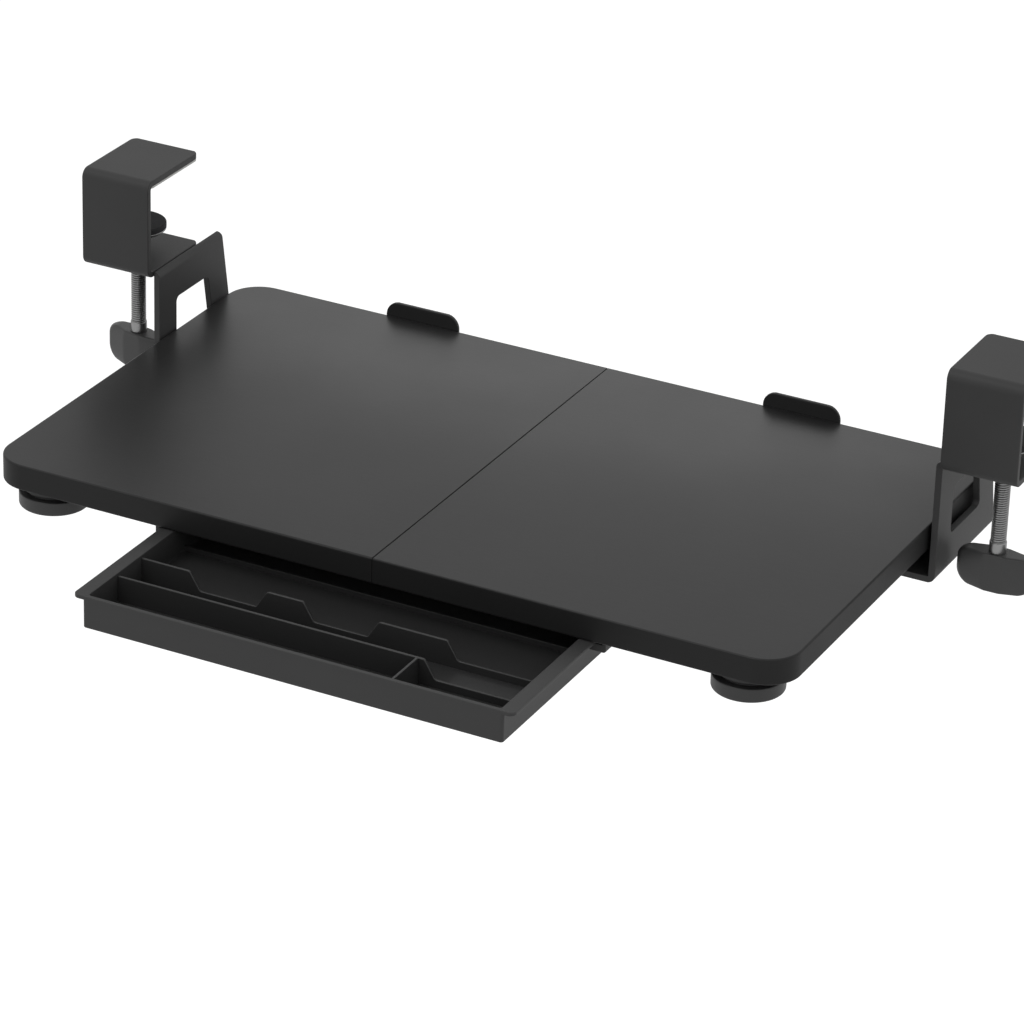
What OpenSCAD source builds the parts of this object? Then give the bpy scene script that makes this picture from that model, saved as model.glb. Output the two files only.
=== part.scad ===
// Clamp-on keyboard tray that hangs under the front edge of a desk
//
// Two folded clamps grip the desk. Each carries a Z-shaped bracket with a nylon glide on its
// shelf. The tray's rails run on the glides, so the tray slides in under the desk, and a
// shallow pen drawer slides in two runners under the tray.
// Millimetres. X to the right, Y from the sitter towards the back of the desk, Z up.
// The origin is the desk's upper front edge, midway between the clamps. The tray is drawn
// fully out and the drawer is half open.

/* [Desk] */
// Thickness of the desk that is held
desk_t = 30.8; // [24:0.1:35]
// How much lower the right clamp screw stands than the left one
right_drop = 4.8; // [0:0.1:5]

/* [Clamps] */
// Width of a clamp along the desk's edge
clamp_w = 40.3; // [36:0.1:46]
// Thickness of the clamp's steel
clamp_t = 3.3; // [2.5:0.1:4]
// Height inside the clamp's mouth
mouth_h = 47.9; // [46.5:0.1:56]
// Reach of the jaws behind the desk's edge
jaw_l = 49; // [46:0.1:60]
// Outer radius of the folds
fold_r = 5; // [4.2:0.1:7]
// Radius of the jaws' rear corners
jaw_corner_r = 4; // [1:0.5:8]
// Thickness of the soft pad under the upper jaw
top_pad_t = 1.5; // [1:0.1:3]
// Gap between a bracket and its clamp's side
clamp_gap = 0.4; // [0.4:0.1:3]

/* [Clamp screws] */
// Diameter of the clamp screw
screw_d = 8; // [7:0.1:8.5]
// Distance of the screw from the clamp's inner side
screw_in = 23; // [21.5:0.1:24]
// Distance of the screw behind the desk's edge
screw_back = 24.8; // [22:0.1:28]
// Length of the screw between the top of its disc and its collar
screw_reach = 57.7; // [50:0.1:62]
// Diameter of the collar above the knob
collar_d = 8.8; // [8.6:0.1:11]
// Height of the collar
collar_h = 6; // [3:0.1:10]
// Diameter of the pressure disc
disc_d = 30; // [24:0.5:32]
// Thickness of the disc's rubber pad
disc_pad_t = 3; // [2.5:0.1:4]
// Thickness of the disc's steel cup
disc_cup_t = 2.5; // [1.5:0.1:3]
// Height of the nut that is welded under the lower jaw
nut_h = 6.5; // [5:0.1:9]
// Width of the nut across its flats
nut_flats = 13; // [12:0.5:14]

/* [Knobs] */
// Length of the wing knob
knob_l = 41.5; // [32:0.5:44]
// Height of the wing knob
knob_h = 20.5; // [16:0.5:24]
// Thickness of the wings at their tips
wing_t = 6; // [3:0.5:9]
// Thickness of the knob's hub
hub_t = 12; // [11.5:0.5:18]
// Length of the hub, between the wings
hub_l = 12; // [8:0.5:14]
// Radius of the knob's corners, seen from the side
knob_r = 7.5; // [3:0.5:7.5]
// Turn of the left knob
left_knob_turn = -13; // [-90:1:90]
// Turn of the right knob
right_knob_turn = 0; // [-90:1:90]

/* [Brackets] */
// Thickness of the bracket's steel
bracket_t = 3.5; // [2.5:0.1:4]
// Height of a bracket
bracket_h = 66.8; // [61:0.1:83]
// How far a bracket's top lies below the lower jaw's upper face
bracket_drop = 0.5; // [0.2:0.1:1.5]
// Distance of a bracket's front edge behind the desk's edge
bracket_front = 1.8; // [0.5:0.1:3]
// Depth of a bracket at its top
bracket_top_d = 65; // [58:0.1:72]
// Depth of a bracket at its bottom
bracket_bottom_d = 77.6; // [72:0.1:90]
// Outer radius of the bracket's folds
bracket_r = 4; // [3.5:0.1:5]
// Width of the shelf, from the bracket's outer face inwards
shelf_w = 49.6; // [48:0.1:52]
// Radius of the shelf's free corners
shelf_corner_r = 6; // [2:0.5:12]
// Distance of the window from the bracket's front edge
window_front = 17.6; // [12:0.1:22]
// Width of the steel behind the window
window_rear = 18.3; // [10:0.1:22]
// Height of the steel below the window
window_bottom = 20.5; // [16:0.1:26]
// Height of the steel above the window
window_top = 20.1; // [17:0.1:25]
// Radius of the window's corners
window_r = 3; // [1:0.5:6]
// Gap between a bracket and the board's side
side_gap = 2; // [1:0.1:6]
// Leg of the weld beads between a bracket and its lower jaw
weld_leg = 3; // [2:0.1:4]
// Length of a weld bead
weld_l = 12; // [8:0.5:14]
// Distance of the front weld bead from the bracket's front edge
weld_front = 7; // [5.5:0.5:9]
// Distance between the front ends of a bracket's two weld beads
weld_step = 18; // [15:0.5:20]

/* [Board] */
// Width of the board
board_w = 438.5; // [420:0.5:700]
// Depth of the board
board_d = 257.1; // [240:0.1:300]
// Thickness of the board
board_t = 13.8; // [10:0.1:18]
// Radius of the board's corners
board_r = 19; // [5:0.5:30]
// How far the board stands out from the desk's edge when it is fully out
board_out = 167.4; // [150:0.1:190]
// Width of the seam between the board's halves
seam = 0.3; // [0.1:0.1:1]
// Number of dowels across the seam
dowel_count = 3; // [2:1:5]
// Diameter of a dowel
dowel_d = 8; // [4:0.5:8]
// Length of a dowel
dowel_l = 30; // [20:1:40]
// Length of a joining plate across the seam
plate_l = 80; // [60:1:120]
// Depth of a joining plate
plate_d = 26; // [20:1:36]
// Thickness of a joining plate
plate_t = 2; // [1.5:0.1:3]
// Distance of the joining plates from the board's front and back edges
plate_end = 40; // [30:1:70]
// Distance of a joining plate's screws from its ends
plate_screw_end = 9; // [8:0.5:14]

/* [Rails and glides] */
// Width of a rail
rail_w = 34; // [31:0.5:36]
// Height of a rail
rail_h = 11.9; // [11:0.1:16]
// Thickness of the rail's steel
rail_t = 1.5; // [1.2:0.1:2]
// Width of the slot between the rail's lips
rail_slot = 20; // [16:0.5:22]
// Distance of a rail's centre line from the board's side
rail_in = 26.6; // [26:0.1:30]
// Gap between a rail and the shelf below it
rail_gap = 1; // [0.5:0.1:3]
// Sliding play of a glide in its rail
glide_play = 0.3; // [0.2:0.05:0.5]
// Distance of a glide from the ends of its shelf
glide_end = 1; // [0:0.1:4]
// Length of a rail's end stop
rail_stop_l = 5; // [4:0.5:10]
// Number of screws in a rail
rail_screw_count = 4; // [3:1:6]
// Distance of the outer screws from the ends of a rail
rail_screw_end = 16; // [10:1:30]
// Number of screws in a glide
glide_screw_count = 3; // [2:1:4]
// Distance of the outer screws from the ends of a glide
glide_screw_end = 10; // [8:1:16]

/* [Feet] */
// Diameter of a foot
foot_d = 36; // [32:0.1:38]
// Height of a foot
foot_h = 12.2; // [10:0.1:12.6]
// Diameter of the foot's upper flange
foot_flange_d = 31.4; // [28:0.1:32]
// Thickness of the foot's upper flange
foot_flange_t = 3.3; // [2:0.1:4]
// Height of the groove round a foot
foot_groove_h = 1.5; // [0.8:0.1:2]
// Depth of the groove, from the flange's edge inwards
foot_groove_d = 1.8; // [1:0.1:3]
// Distance of a foot's centre behind the board's front edge
foot_back = 19.3; // [18:0.1:26]
// Radius of the foot's lower edge
foot_edge_r = 1; // [0.5:0.1:3]

/* [Back stops] */
// Width of a back stop
stop_w = 43.5; // [30:0.5:60]
// Distance of a back stop's middle from the middle of the board
stop_x = 111; // [80:1:150]
// Height of a back stop above the board
stop_h = 8; // [5:0.1:20]
// Thickness of the back stop's steel
stop_t = 2; // [1.5:0.1:2.5]
// Length of a back stop's foot under the board
stop_foot_l = 18; // [14:0.5:24]
// Radius of the back stop's upper corners
stop_r = 7.5; // [2:0.5:7.5]
// Distance of the back stop's screws from its ends
stop_screw_end = 10; // [6:0.5:14]

/* [Drawer] */
// Width of the drawer's body
drawer_w = 227.8; // [200:0.2:260]
// Depth of the drawer
drawer_d = 170; // [168:1:190]
// Height of the drawer
drawer_h = 17.2; // [14:0.1:24]
// How far the drawer is open
drawer_out = 83; // [40:1:95]
// Distance of the closed drawer's front behind the board's front edge
drawer_setback = 2; // [0:0.1:3]
// Gap between the board and the drawer
drawer_gap = 0.4; // [0.3:0.1:1]
// Thickness of the drawer's walls
drawer_wall = 2.2; // [1.6:0.1:3]
// Thickness of the drawer's floor
drawer_floor = 2; // [1.5:0.1:3]
// Radius of the drawer's upright corners
drawer_r = 1.5; // [0.5:0.1:4]
// Radius of the corners inside the drawer
drawer_inner_r = 1.5; // [0.5:0.1:4]
// Radius of the rims' front corners
rim_r = 3; // [0.5:0.1:4.5]
// Width of the rims along the drawer's sides
rim_w = 5.5; // [5:0.1:7]
// Thickness of the drawer's rims
rim_t = 2; // [1.5:0.1:2.5]
// How far a lug stands out from the rim's rear end
lug_w = 2.7; // [2:0.1:3]
// Length of a lug
lug_l = 4; // [3:0.5:8]
// Thickness of the drawer's dividers
divider_t = 1.5; // [1:0.1:2.5]
// Distance of the dividers' tops below the drawer's rim
divider_drop = 1.5; // [0.5:0.1:3]
// Height of a divider's low stretches above the floor
scoop_h = 4.2; // [2:0.1:6]
// Run of the slope between a divider's high and low stretches
scoop_run = 6; // [3:0.5:8]
// Distance of the pen divider behind the drawer's front
pen_divider_y = 29.3; // [20:0.1:36]
// Distance of the pen divider's slope from the drawer's left side
pen_divider_l = 171; // [120:0.5:190]
// Distance of the cross divider from the drawer's left side
cross_divider_x = 167.2; // [110:0.1:170]
// Distance of the scooped divider behind the drawer's front
scoop_divider_y = 51.5; // [44:0.1:60]
// Length of the scooped divider's high end
scoop_first_l = 29.5; // [20:0.5:40]
// Distance of the narrow tab from the drawer's left side
narrow_tab_x = 73; // [60:0.5:90]
// Length of the narrow tab
narrow_tab_l = 20; // [15:0.5:40]
// Distance of the wide tab from the drawer's left side
wide_tab_x = 134.5; // [125:0.5:150]
// Length of the wide tab
wide_tab_l = 37; // [20:0.5:60]
// Distance of the low floor rib behind the drawer's front
rib_y = 92; // [75:0.5:110]
// Height of the low floor rib
rib_h = 3; // [1:0.1:6]

/* [Runners] */
// Gap between the drawer's body and a runner's lip
lip_gap = 0.8; // [0.4:0.1:1.5]
// Gap between the drawer's rim and a runner's lip
rim_gap = 0.4; // [0.3:0.1:1]
// Thickness of a runner's lip
lip_t = 4.1; // [3:0.1:6]
// Thickness of a runner's wall
runner_t = 2; // [1.5:0.1:3]
// Gap between a lug and the runner's wall
lug_gap = 0.5; // [0.3:0.1:1]
// Width of the runner's screw flange
runner_flange_w = 10; // [9:0.5:14]
// Distance of a runner's front end behind the board's front edge
runner_front = 4.5; // [3:0.1:8]
// How far the drawer opens from here before its lugs meet the runners' bumps
drawer_more = 36; // [10:1:40]
// Length of a runner's bump
bump_l = 3; // [2:0.5:6]
// Number of screws in a runner
runner_screw_count = 3; // [2:1:5]
// Distance of the outer screws from the ends of a runner
runner_screw_end = 14; // [8:1:30]

/* [Small screws] */
// Diameter of the wood screws
wood_d = 3.5; // [3:0.1:4]
// Diameter of the screws' heads
wood_head_d = 6.8; // [5.5:0.1:7]
// Height of a pan head
pan_h = 2.2; // [1.5:0.1:2.4]
// Depth of the screws in the board
wood_bite = 8.5; // [6:0.1:9]
// Distance of the end stops' travel play
travel_play = 0.3; // [0.2:0.05:1]
// Radial gap of a fixed pin or screw in its hole
fit_gap = 0.05; // [0.02:0.01:0.1]

/* [Hidden] */
$fn = 64;
LEFT = -1;
RIGHT = 1;
SIDES = [LEFT, RIGHT];
// Overshoot of a cutter beyond the face that it opens
cut = 1;
// Flat pieces on a quarter turn of a folded or moulded edge
arc_steps = 8;

// Heights
jaw_under = top_pad_t;
clamp_top = jaw_under + clamp_t;
lower_jaw_top = jaw_under - mouth_h;
lower_jaw_under = lower_jaw_top - clamp_t;
nut_under = lower_jaw_under - nut_h;
bracket_top = lower_jaw_top - bracket_drop;
bracket_bottom = bracket_top - bracket_h;
shelf_top = bracket_bottom + bracket_t;
rail_under = shelf_top + rail_gap;
board_under = rail_under + rail_h;
board_top = board_under + board_t;
rim_top = board_under - drawer_gap;
rim_under = rim_top - rim_t;
drawer_bottom = rim_top - drawer_h;
drawer_floor_top = drawer_bottom + drawer_floor;
divider_top = rim_top - divider_drop;
scoop_top = drawer_floor_top + scoop_h;
lip_top = rim_under - rim_gap;
lip_under = lip_top - lip_t;

// Places across the desk
web_in = board_w / 2 + side_gap;
web_out = web_in + bracket_t;
shelf_in = web_out - shelf_w;
clamp_in = web_out + clamp_gap;
clamp_x = clamp_in + clamp_w / 2;
screw_x = clamp_in + screw_in;
rail_x = board_w / 2 - rail_in;
rim_out = drawer_w / 2 + rim_w;
lug_out = rim_out + lug_w;
wall_in = lug_out + lug_gap;
wall_out = wall_in + runner_t;
runner_out = wall_out + runner_flange_w;
lip_in = drawer_w / 2 + lip_gap;

// Places from the front to the back
board_front = -board_out;
board_back = board_front + board_d;
glide_front = bracket_front + glide_end;
glide_back = bracket_front + bracket_bottom_d - glide_end;
foot_y = board_front + foot_back;
rail_front = foot_y + foot_d / 2 + travel_play;
rail_back = glide_back + travel_play + rail_stop_l;
drawer_front = board_front + drawer_setback - drawer_out;
drawer_back = drawer_front + drawer_d;
runner_y = board_front + runner_front;
runner_back = drawer_back + drawer_out + travel_play + runner_t;
bump_back = drawer_back - lug_l - drawer_more - travel_play;

// Flat beside the round of a bracket's top edge
top_flat = 0.5;

// Radii of pins, screws and holes
screw_r = screw_d / 2;
neck_r = screw_r - 1.5;
rivet_r = screw_r + 0.2;
rivet_h = 1.2;
disc_play = 0.15;
wood_r = wood_d / 2;
wood_head_r = wood_head_d / 2;
dowel_r = dowel_d / 2;
dowel_play = 0.5;
pocket_play = 0.2;
knob_bite = 0.7 * knob_h;
foot_bore_r = 5;
foot_bore_h = 3.4;
sink_t = 1.5;

// Places of the weld beads and the screws
weld_ys = [bracket_front + weld_front, bracket_front + weld_front + weld_step];
glide_screw_ys = spread(glide_front + glide_screw_end, glide_back - glide_screw_end, glide_screw_count);
rail_screw_ys = spread(rail_front + rail_screw_end, rail_back - rail_screw_end, rail_screw_count);
runner_screw_ys = spread(runner_y + runner_screw_end, runner_back - runner_screw_end, runner_screw_count);
runner_screw_x = (wall_out + runner_out) / 2;
stop_screw_y = board_back - stop_foot_l / 2;
stop_screw_xs = [stop_x - stop_w / 2 + stop_screw_end, stop_x + stop_w / 2 - stop_screw_end];
plate_front_y = board_front + plate_end + plate_d / 2;
plate_rear_y = board_back - plate_end - plate_d / 2;
plate_screw_x = plate_l / 2 - plate_screw_end;
dowel_ys = spread(board_front + board_d / 8, board_back - board_d / 8, dowel_count);

function spread(first, last, count) =
    [for (i = [0:count - 1]) first + (last - first) * i / (count - 1)];

function unit(v) = v / norm(v);

// One corner of an outline, as an arc of radius p.z that touches both of its edges
function corner(a, p, b) =
    let (
        at = [p.x, p.y],
        u = unit([a.x, a.y] - at),
        v = unit([b.x, b.y] - at),
        half = acos(u * v) / 2,
        centre = at + unit(u + v) * p.z / sin(half),
        from = at + u * p.z / tan(half) - centre,
        to = at + v * p.z / tan(half) - centre,
        start = atan2(from.y, from.x),
        turn = atan2(to.y, to.x) - start,
        sweep = turn > 180 ? turn - 360 : turn < -180 ? turn + 360 : turn
    )
    [for (i = [0:arc_steps]) centre + p.z * [cos(start + sweep * i / arc_steps), sin(start + sweep * i / arc_steps)]];

// Closed outline from corners [x, y, radius]; a radius of 0 leaves the corner sharp
function rounded(pts) =
    [for (i = [0:len(pts) - 1])
        let (last = len(pts) - 1, a = pts[i == 0 ? last : i - 1], b = pts[i == last ? 0 : i + 1])
        each pts[i].z > 0 ? corner(a, pts[i], b) : [[pts[i].x, pts[i].y]]];

// Extrusions: an outline of [y, z] along X, and an outline of [x, z] along Y
module along_x(from, to) {
    translate([from, 0, 0]) rotate([90, 0, 90]) linear_extrude(to - from) children();
}

module along_y(from, to) {
    translate([0, to, 0]) rotate([90, 0, 0]) linear_extrude(to - from) children();
}

module upright(from, to) {
    translate([0, 0, from]) linear_extrude(to - from) children();
}

module box(low, high) {
    translate(low) cube(high - low);
}

// Rectangle with true round corners
module round_rect(low, high, r) {
    translate([low.x + r, low.y]) square([high.x - low.x - 2 * r, high.y - low.y]);
    translate([low.x, low.y + r]) square([high.x - low.x, high.y - low.y - 2 * r]);
    for (x = [low.x + r, high.x - r], y = [low.y + r, high.y - r]) translate([x, y]) circle(r);
}

module side_of(side) {
    mirror([side == LEFT ? 1 : 0, 0, 0]) children();
}

module pin(x, y, low, high, r) {
    translate([x, y, low]) cylinder(h = high - low, r = r);
}

// Hexagon with two flats that face left and right
module hexagon(x, y, low, high, flats) {
    translate([x, y, low]) rotate([0, 0, 30]) cylinder(h = high - low, d = flats / cos(30), $fn = 6);
}

// Wood screw into the board, its pan head under a part of thickness t
module pan_screw(x, y, t) {
    pin(x, y, board_under - t, board_under + wood_bite, wood_r);
    pin(x, y, board_under - t - pan_h, board_under - t, wood_head_r);
}

// Sunk screw head and shank, the head's face at height z
module sunk_screw(x, y, z, grow) {
    translate([x, y, z]) cylinder(h = sink_t, r1 = wood_head_r + grow, r2 = wood_r + grow);
    pin(x, y, z, board_under + wood_bite + grow, wood_r + grow);
}

module sunk_hole(x, y, z) {
    sunk_screw(x, y, z, fit_gap);
    pin(x, y, z - cut, z, wood_head_r + fit_gap);
}

module pilot(x, y) {
    pin(x, y, board_under - cut, board_under + wood_bite + fit_gap, wood_r + fit_gap);
}

// Clamps
module clamp(side) {
    side_of(side) difference() {
        intersection() {
            along_x(clamp_in, clamp_in + clamp_w) polygon(rounded([
                [jaw_l, clamp_top, 0],
                [-clamp_t, clamp_top, fold_r],
                [-clamp_t, lower_jaw_under, fold_r],
                [jaw_l, lower_jaw_under, 0],
                [jaw_l, lower_jaw_top, 0],
                [0, lower_jaw_top, fold_r - clamp_t],
                [0, jaw_under, fold_r - clamp_t],
                [jaw_l, jaw_under, 0]]));
            upright(lower_jaw_under - cut, clamp_top + cut) polygon(rounded([
                [clamp_in, -clamp_t - cut, 0],
                [clamp_in + clamp_w, -clamp_t - cut, 0],
                [clamp_in + clamp_w, jaw_l, jaw_corner_r],
                [clamp_in, jaw_l, jaw_corner_r]]));
        }
        pin(screw_x, screw_back, lower_jaw_under - cut, lower_jaw_top + cut, screw_r + 0.5);
    }
}

module clamp_left() { color([0.13, 0.13, 0.14]) clamp(LEFT); }
module clamp_right() { color([0.13, 0.13, 0.14]) clamp(RIGHT); }

module top_pad(side) {
    inset = 0.6;
    side_of(side) upright(0, jaw_under) polygon(rounded([
        [clamp_in + inset, fold_r - clamp_t, 1],
        [clamp_in + clamp_w - inset, fold_r - clamp_t, 1],
        [clamp_in + clamp_w - inset, jaw_l - inset, jaw_corner_r - inset],
        [clamp_in + inset, jaw_l - inset, jaw_corner_r - inset]]));
}

module top_pad_left() { color([0.75, 0.75, 0.74]) top_pad(LEFT); }
module top_pad_right() { color([0.75, 0.75, 0.74]) top_pad(RIGHT); }

module clamp_nut(side) {
    side_of(side) difference() {
        hexagon(screw_x, screw_back, nut_under, lower_jaw_under, nut_flats);
        pin(screw_x, screw_back, nut_under - cut, lower_jaw_under + cut, screw_r + fit_gap);
    }
}

module clamp_nut_left() { color([0.5, 0.5, 0.52]) clamp_nut(LEFT); }
module clamp_nut_right() { color([0.5, 0.5, 0.52]) clamp_nut(RIGHT); }

// Brackets
module bracket_profile() {
    polygon(rounded([
        [shelf_in, bracket_bottom, 0],
        [web_out, bracket_bottom, bracket_r],
        [web_out, bracket_top, 0],
        [web_in, bracket_top, bracket_t - top_flat],
        [web_in, shelf_top, bracket_r - bracket_t],
        [shelf_in, shelf_top, 0]]));
}

module bracket_side() {
    slope = (bracket_bottom_d - bracket_top_d) / bracket_h;
    rear_top = bracket_front + bracket_top_d - window_rear;
    window_low = bracket_bottom + window_bottom;
    window_high = bracket_top - window_top;
    difference() {
        polygon([
            [bracket_front, bracket_bottom],
            [bracket_front + bracket_bottom_d, bracket_bottom],
            [bracket_front + bracket_top_d, bracket_top],
            [bracket_front, bracket_top]]);
        polygon(rounded([
            [bracket_front + window_front, window_low, window_r],
            [rear_top + slope * (bracket_top - window_low), window_low, window_r],
            [rear_top + slope * (bracket_top - window_high), window_high, window_r],
            [bracket_front + window_front, window_high, window_r]]));
    }
}

module bracket_plan() {
    rear = bracket_front + bracket_bottom_d;
    polygon(rounded([
        [shelf_in, bracket_front, shelf_corner_r],
        [web_out, bracket_front, 0],
        [web_out, rear, 0],
        [shelf_in, rear, shelf_corner_r]]));
}

module bracket(side) {
    side_of(side) difference() {
        intersection() {
            along_y(bracket_front, bracket_front + bracket_bottom_d) bracket_profile();
            along_x(shelf_in - cut, web_out + cut) bracket_side();
            upright(bracket_bottom - cut, bracket_top + cut) bracket_plan();
        }
        for (y = glide_screw_ys) pin(rail_x, y, bracket_bottom - cut, shelf_top + cut, wood_r + fit_gap);
    }
}

module bracket_left() { color([0.12, 0.12, 0.13]) bracket(LEFT); }
module bracket_right() { color([0.12, 0.12, 0.13]) bracket(RIGHT); }

// Beads in the corner below the lower jaw, along the bracket's outer face
module bracket_welds() {
    color([0.12, 0.12, 0.13]) for (side = SIDES, y = weld_ys) side_of(side) along_y(y, y + weld_l) polygon([
        [web_out, lower_jaw_under - weld_leg],
        [clamp_in + weld_leg, lower_jaw_under],
        [web_out, lower_jaw_under]]);
}

// Glides: a wide head in the rail and a neck through the rail's slot
module glide(side) {
    head = rail_w / 2 - rail_t - glide_play;
    neck = rail_slot / 2 - glide_play;
    head_low = rail_under + rail_t + glide_play;
    head_high = board_under - rail_t - glide_play;
    edge = 1;
    side_of(side) difference() {
        translate([rail_x, 0, 0]) along_y(glide_front, glide_back) polygon(rounded([
            [-neck, shelf_top, 0],
            [neck, shelf_top, 0],
            [neck, head_low, 0],
            [head, head_low, edge],
            [head, head_high, edge],
            [-head, head_high, edge],
            [-head, head_low, edge],
            [-neck, head_low, 0]]));
        for (y = glide_screw_ys)
            pin(rail_x, y, shelf_top - cut, shelf_top + wood_bite + fit_gap, wood_r + fit_gap);
    }
}

module glide_left() { color([0.2, 0.2, 0.2]) glide(LEFT); }
module glide_right() { color([0.2, 0.2, 0.2]) glide(RIGHT); }

module glide_screws() {
    color([0.2, 0.2, 0.21]) for (side = SIDES, y = glide_screw_ys) side_of(side) {
        pin(rail_x, y, bracket_bottom, shelf_top + wood_bite, wood_r);
        pin(rail_x, y, bracket_bottom - pan_h, bracket_bottom, wood_head_r);
    }
}

// Clamp screws with their pressure discs and knobs
function disc_top(side) = -desk_t - (side == RIGHT ? right_drop : 0);
function cup_top(side) = disc_top(side) - disc_pad_t;
function cup_under(side) = cup_top(side) - disc_cup_t;
function knob_top(side) = disc_top(side) - screw_reach - collar_h;

module pressure_cup(side) {
    side_of(side) translate([screw_x, screw_back, 0]) difference() {
        union() {
            pin(0, 0, cup_under(side), cup_top(side), disc_d / 2 - 0.7);
            translate([0, 0, cup_under(side)]) cylinder(h = disc_cup_t, r1 = disc_d / 2 - 1.2, r2 = disc_d / 2);
        }
        pin(0, 0, cup_under(side) - cut, cup_top(side) + cut, neck_r + fit_gap);
    }
}

module pressure_cup_left() { color([0.45, 0.45, 0.47]) pressure_cup(LEFT); }
module pressure_cup_right() { color([0.45, 0.45, 0.47]) pressure_cup(RIGHT); }

module pressure_pad(side) {
    edge = 0.8;
    side_of(side) translate([screw_x, screw_back, 0]) difference() {
        union() {
            pin(0, 0, cup_top(side), disc_top(side) - edge, disc_d / 2);
            translate([0, 0, disc_top(side) - edge]) cylinder(h = edge, r1 = disc_d / 2, r2 = disc_d / 2 - edge);
        }
        pin(0, 0, cup_top(side) - cut, cup_top(side) + rivet_h + 2 * disc_play, rivet_r + disc_play);
    }
}

module pressure_pad_left() { color([0.08, 0.08, 0.08]) pressure_pad(LEFT); }
module pressure_pad_right() { color([0.08, 0.08, 0.08]) pressure_pad(RIGHT); }

module clamp_screw(side) {
    collar_top = knob_top(side) + collar_h;
    neck_top = cup_top(side) + disc_play;
    side_of(side) translate([screw_x, screw_back, 0]) {
        pin(0, 0, knob_top(side) - knob_bite, cup_under(side) - disc_play, screw_r);
        pin(0, 0, knob_top(side), collar_top, collar_d / 2);
        pin(0, 0, cup_under(side) - cut, neck_top, neck_r);
        pin(0, 0, neck_top, neck_top + rivet_h, rivet_r);
    }
}

module clamp_screw_left() { color([0.45, 0.45, 0.47]) clamp_screw(LEFT); }
module clamp_screw_right() { color([0.45, 0.45, 0.47]) clamp_screw(RIGHT); }

// Wing knob: its plan and its side outline, cut from each other
module knob(side, turn) {
    top = knob_top(side);
    half = knob_l / 2;
    tip_r = 0.4 * wing_t;
    hub_r = hub_l / 2;
    difference() {
        translate([side * screw_x, screw_back, 0]) rotate([0, 0, turn]) intersection() {
            upright(top - knob_h, top) polygon(rounded([
                [-half, -wing_t / 2, tip_r],
                [-hub_l / 2, -hub_t / 2, hub_r],
                [hub_l / 2, -hub_t / 2, hub_r],
                [half, -wing_t / 2, tip_r],
                [half, wing_t / 2, tip_r],
                [hub_l / 2, hub_t / 2, hub_r],
                [-hub_l / 2, hub_t / 2, hub_r],
                [-half, wing_t / 2, tip_r]]));
            along_y(-hub_t, hub_t) round_rect([-half, top - knob_h], [half, top], knob_r);
        }
        pin(side * screw_x, screw_back, top - knob_bite - fit_gap, top + cut, screw_r + fit_gap);
    }
}

module knob_left() { color([0.15, 0.15, 0.16]) knob(LEFT, left_knob_turn); }
module knob_right() { color([0.15, 0.15, 0.16]) knob(RIGHT, right_knob_turn); }

// Board: two halves with a seam, dowels across it and plates sunk in the underside
module plate_outline(y, grow) {
    translate([0, y]) round_rect(
        [-plate_l / 2 - grow, -plate_d / 2 - grow],
        [plate_l / 2 + grow, plate_d / 2 + grow], 4);
}

module dowel_at(y, r, l) {
    translate([-l / 2, y, board_under + plate_t + (board_t - plate_t) / 2]) rotate([0, 90, 0]) cylinder(h = l, r = r);
}

module board(side) {
    difference() {
        upright(board_under, board_top) intersection() {
            round_rect([-board_w / 2, board_front], [board_w / 2, board_back], board_r);
            translate([side == LEFT ? -board_w : seam / 2, board_front - cut])
                square([board_w - (side == LEFT ? seam / 2 : 0), board_d + 2 * cut]);
        }
        for (y = dowel_ys) dowel_at(y, dowel_r + fit_gap, dowel_l + 2 * dowel_play);
        for (y = [plate_front_y, plate_rear_y]) {
            upright(board_under - cut, board_under + plate_t) plate_outline(y, pocket_play);
            for (dy = plate_screw_dys) sunk_screw(side * plate_screw_x, y + dy, board_under, fit_gap);
        }
        side_of(side) {
            for (y = rail_screw_ys) pilot(rail_x, y);
            for (y = runner_screw_ys) pilot(runner_screw_x, y);
            for (x = stop_screw_xs) pilot(x, stop_screw_y);
            pilot(rail_x, foot_y);
        }
    }
}

plate_screw_dys = [-plate_d / 4, plate_d / 4];

module board_left() { color([0.12, 0.12, 0.13]) board(LEFT); }
module board_right() { color([0.12, 0.12, 0.13]) board(RIGHT); }

module dowels() {
    color([0.8, 0.65, 0.42]) for (y = dowel_ys) dowel_at(y, dowel_r, dowel_l);
}

module joining_plate(y) {
    color([0.5, 0.5, 0.52]) difference() {
        upright(board_under, board_under + plate_t) plate_outline(y, 0);
        for (side = SIDES, dy = plate_screw_dys) sunk_hole(side * plate_screw_x, y + dy, board_under);
    }
}

module joining_plate_front() { joining_plate(plate_front_y); }
module joining_plate_rear() { joining_plate(plate_rear_y); }

module joining_screws() {
    color([0.4, 0.4, 0.42]) for (side = SIDES, y = [plate_front_y, plate_rear_y], dy = plate_screw_dys)
        sunk_screw(side * plate_screw_x, y + dy, board_under, 0);
}

// Rails: a channel that opens downwards, with lips that turn in under the glide
module rail(side) {
    half = rail_w / 2;
    slot = rail_slot / 2;
    fold = rail_t;
    side_of(side) difference() {
        translate([rail_x, 0, 0]) along_y(rail_front, rail_back) polygon(rounded([
            [-half, rail_under, fold],
            [-slot, rail_under, 0],
            [-slot, rail_under + rail_t, 0],
            [-half + rail_t, rail_under + rail_t, 0],
            [-half + rail_t, board_under - rail_t, 0],
            [half - rail_t, board_under - rail_t, 0],
            [half - rail_t, rail_under + rail_t, 0],
            [slot, rail_under + rail_t, 0],
            [slot, rail_under, 0],
            [half, rail_under, fold],
            [half, board_under, fold],
            [-half, board_under, fold]]));
        for (y = rail_screw_ys) sunk_hole(rail_x, y, board_under - sink_t);
    }
}

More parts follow.
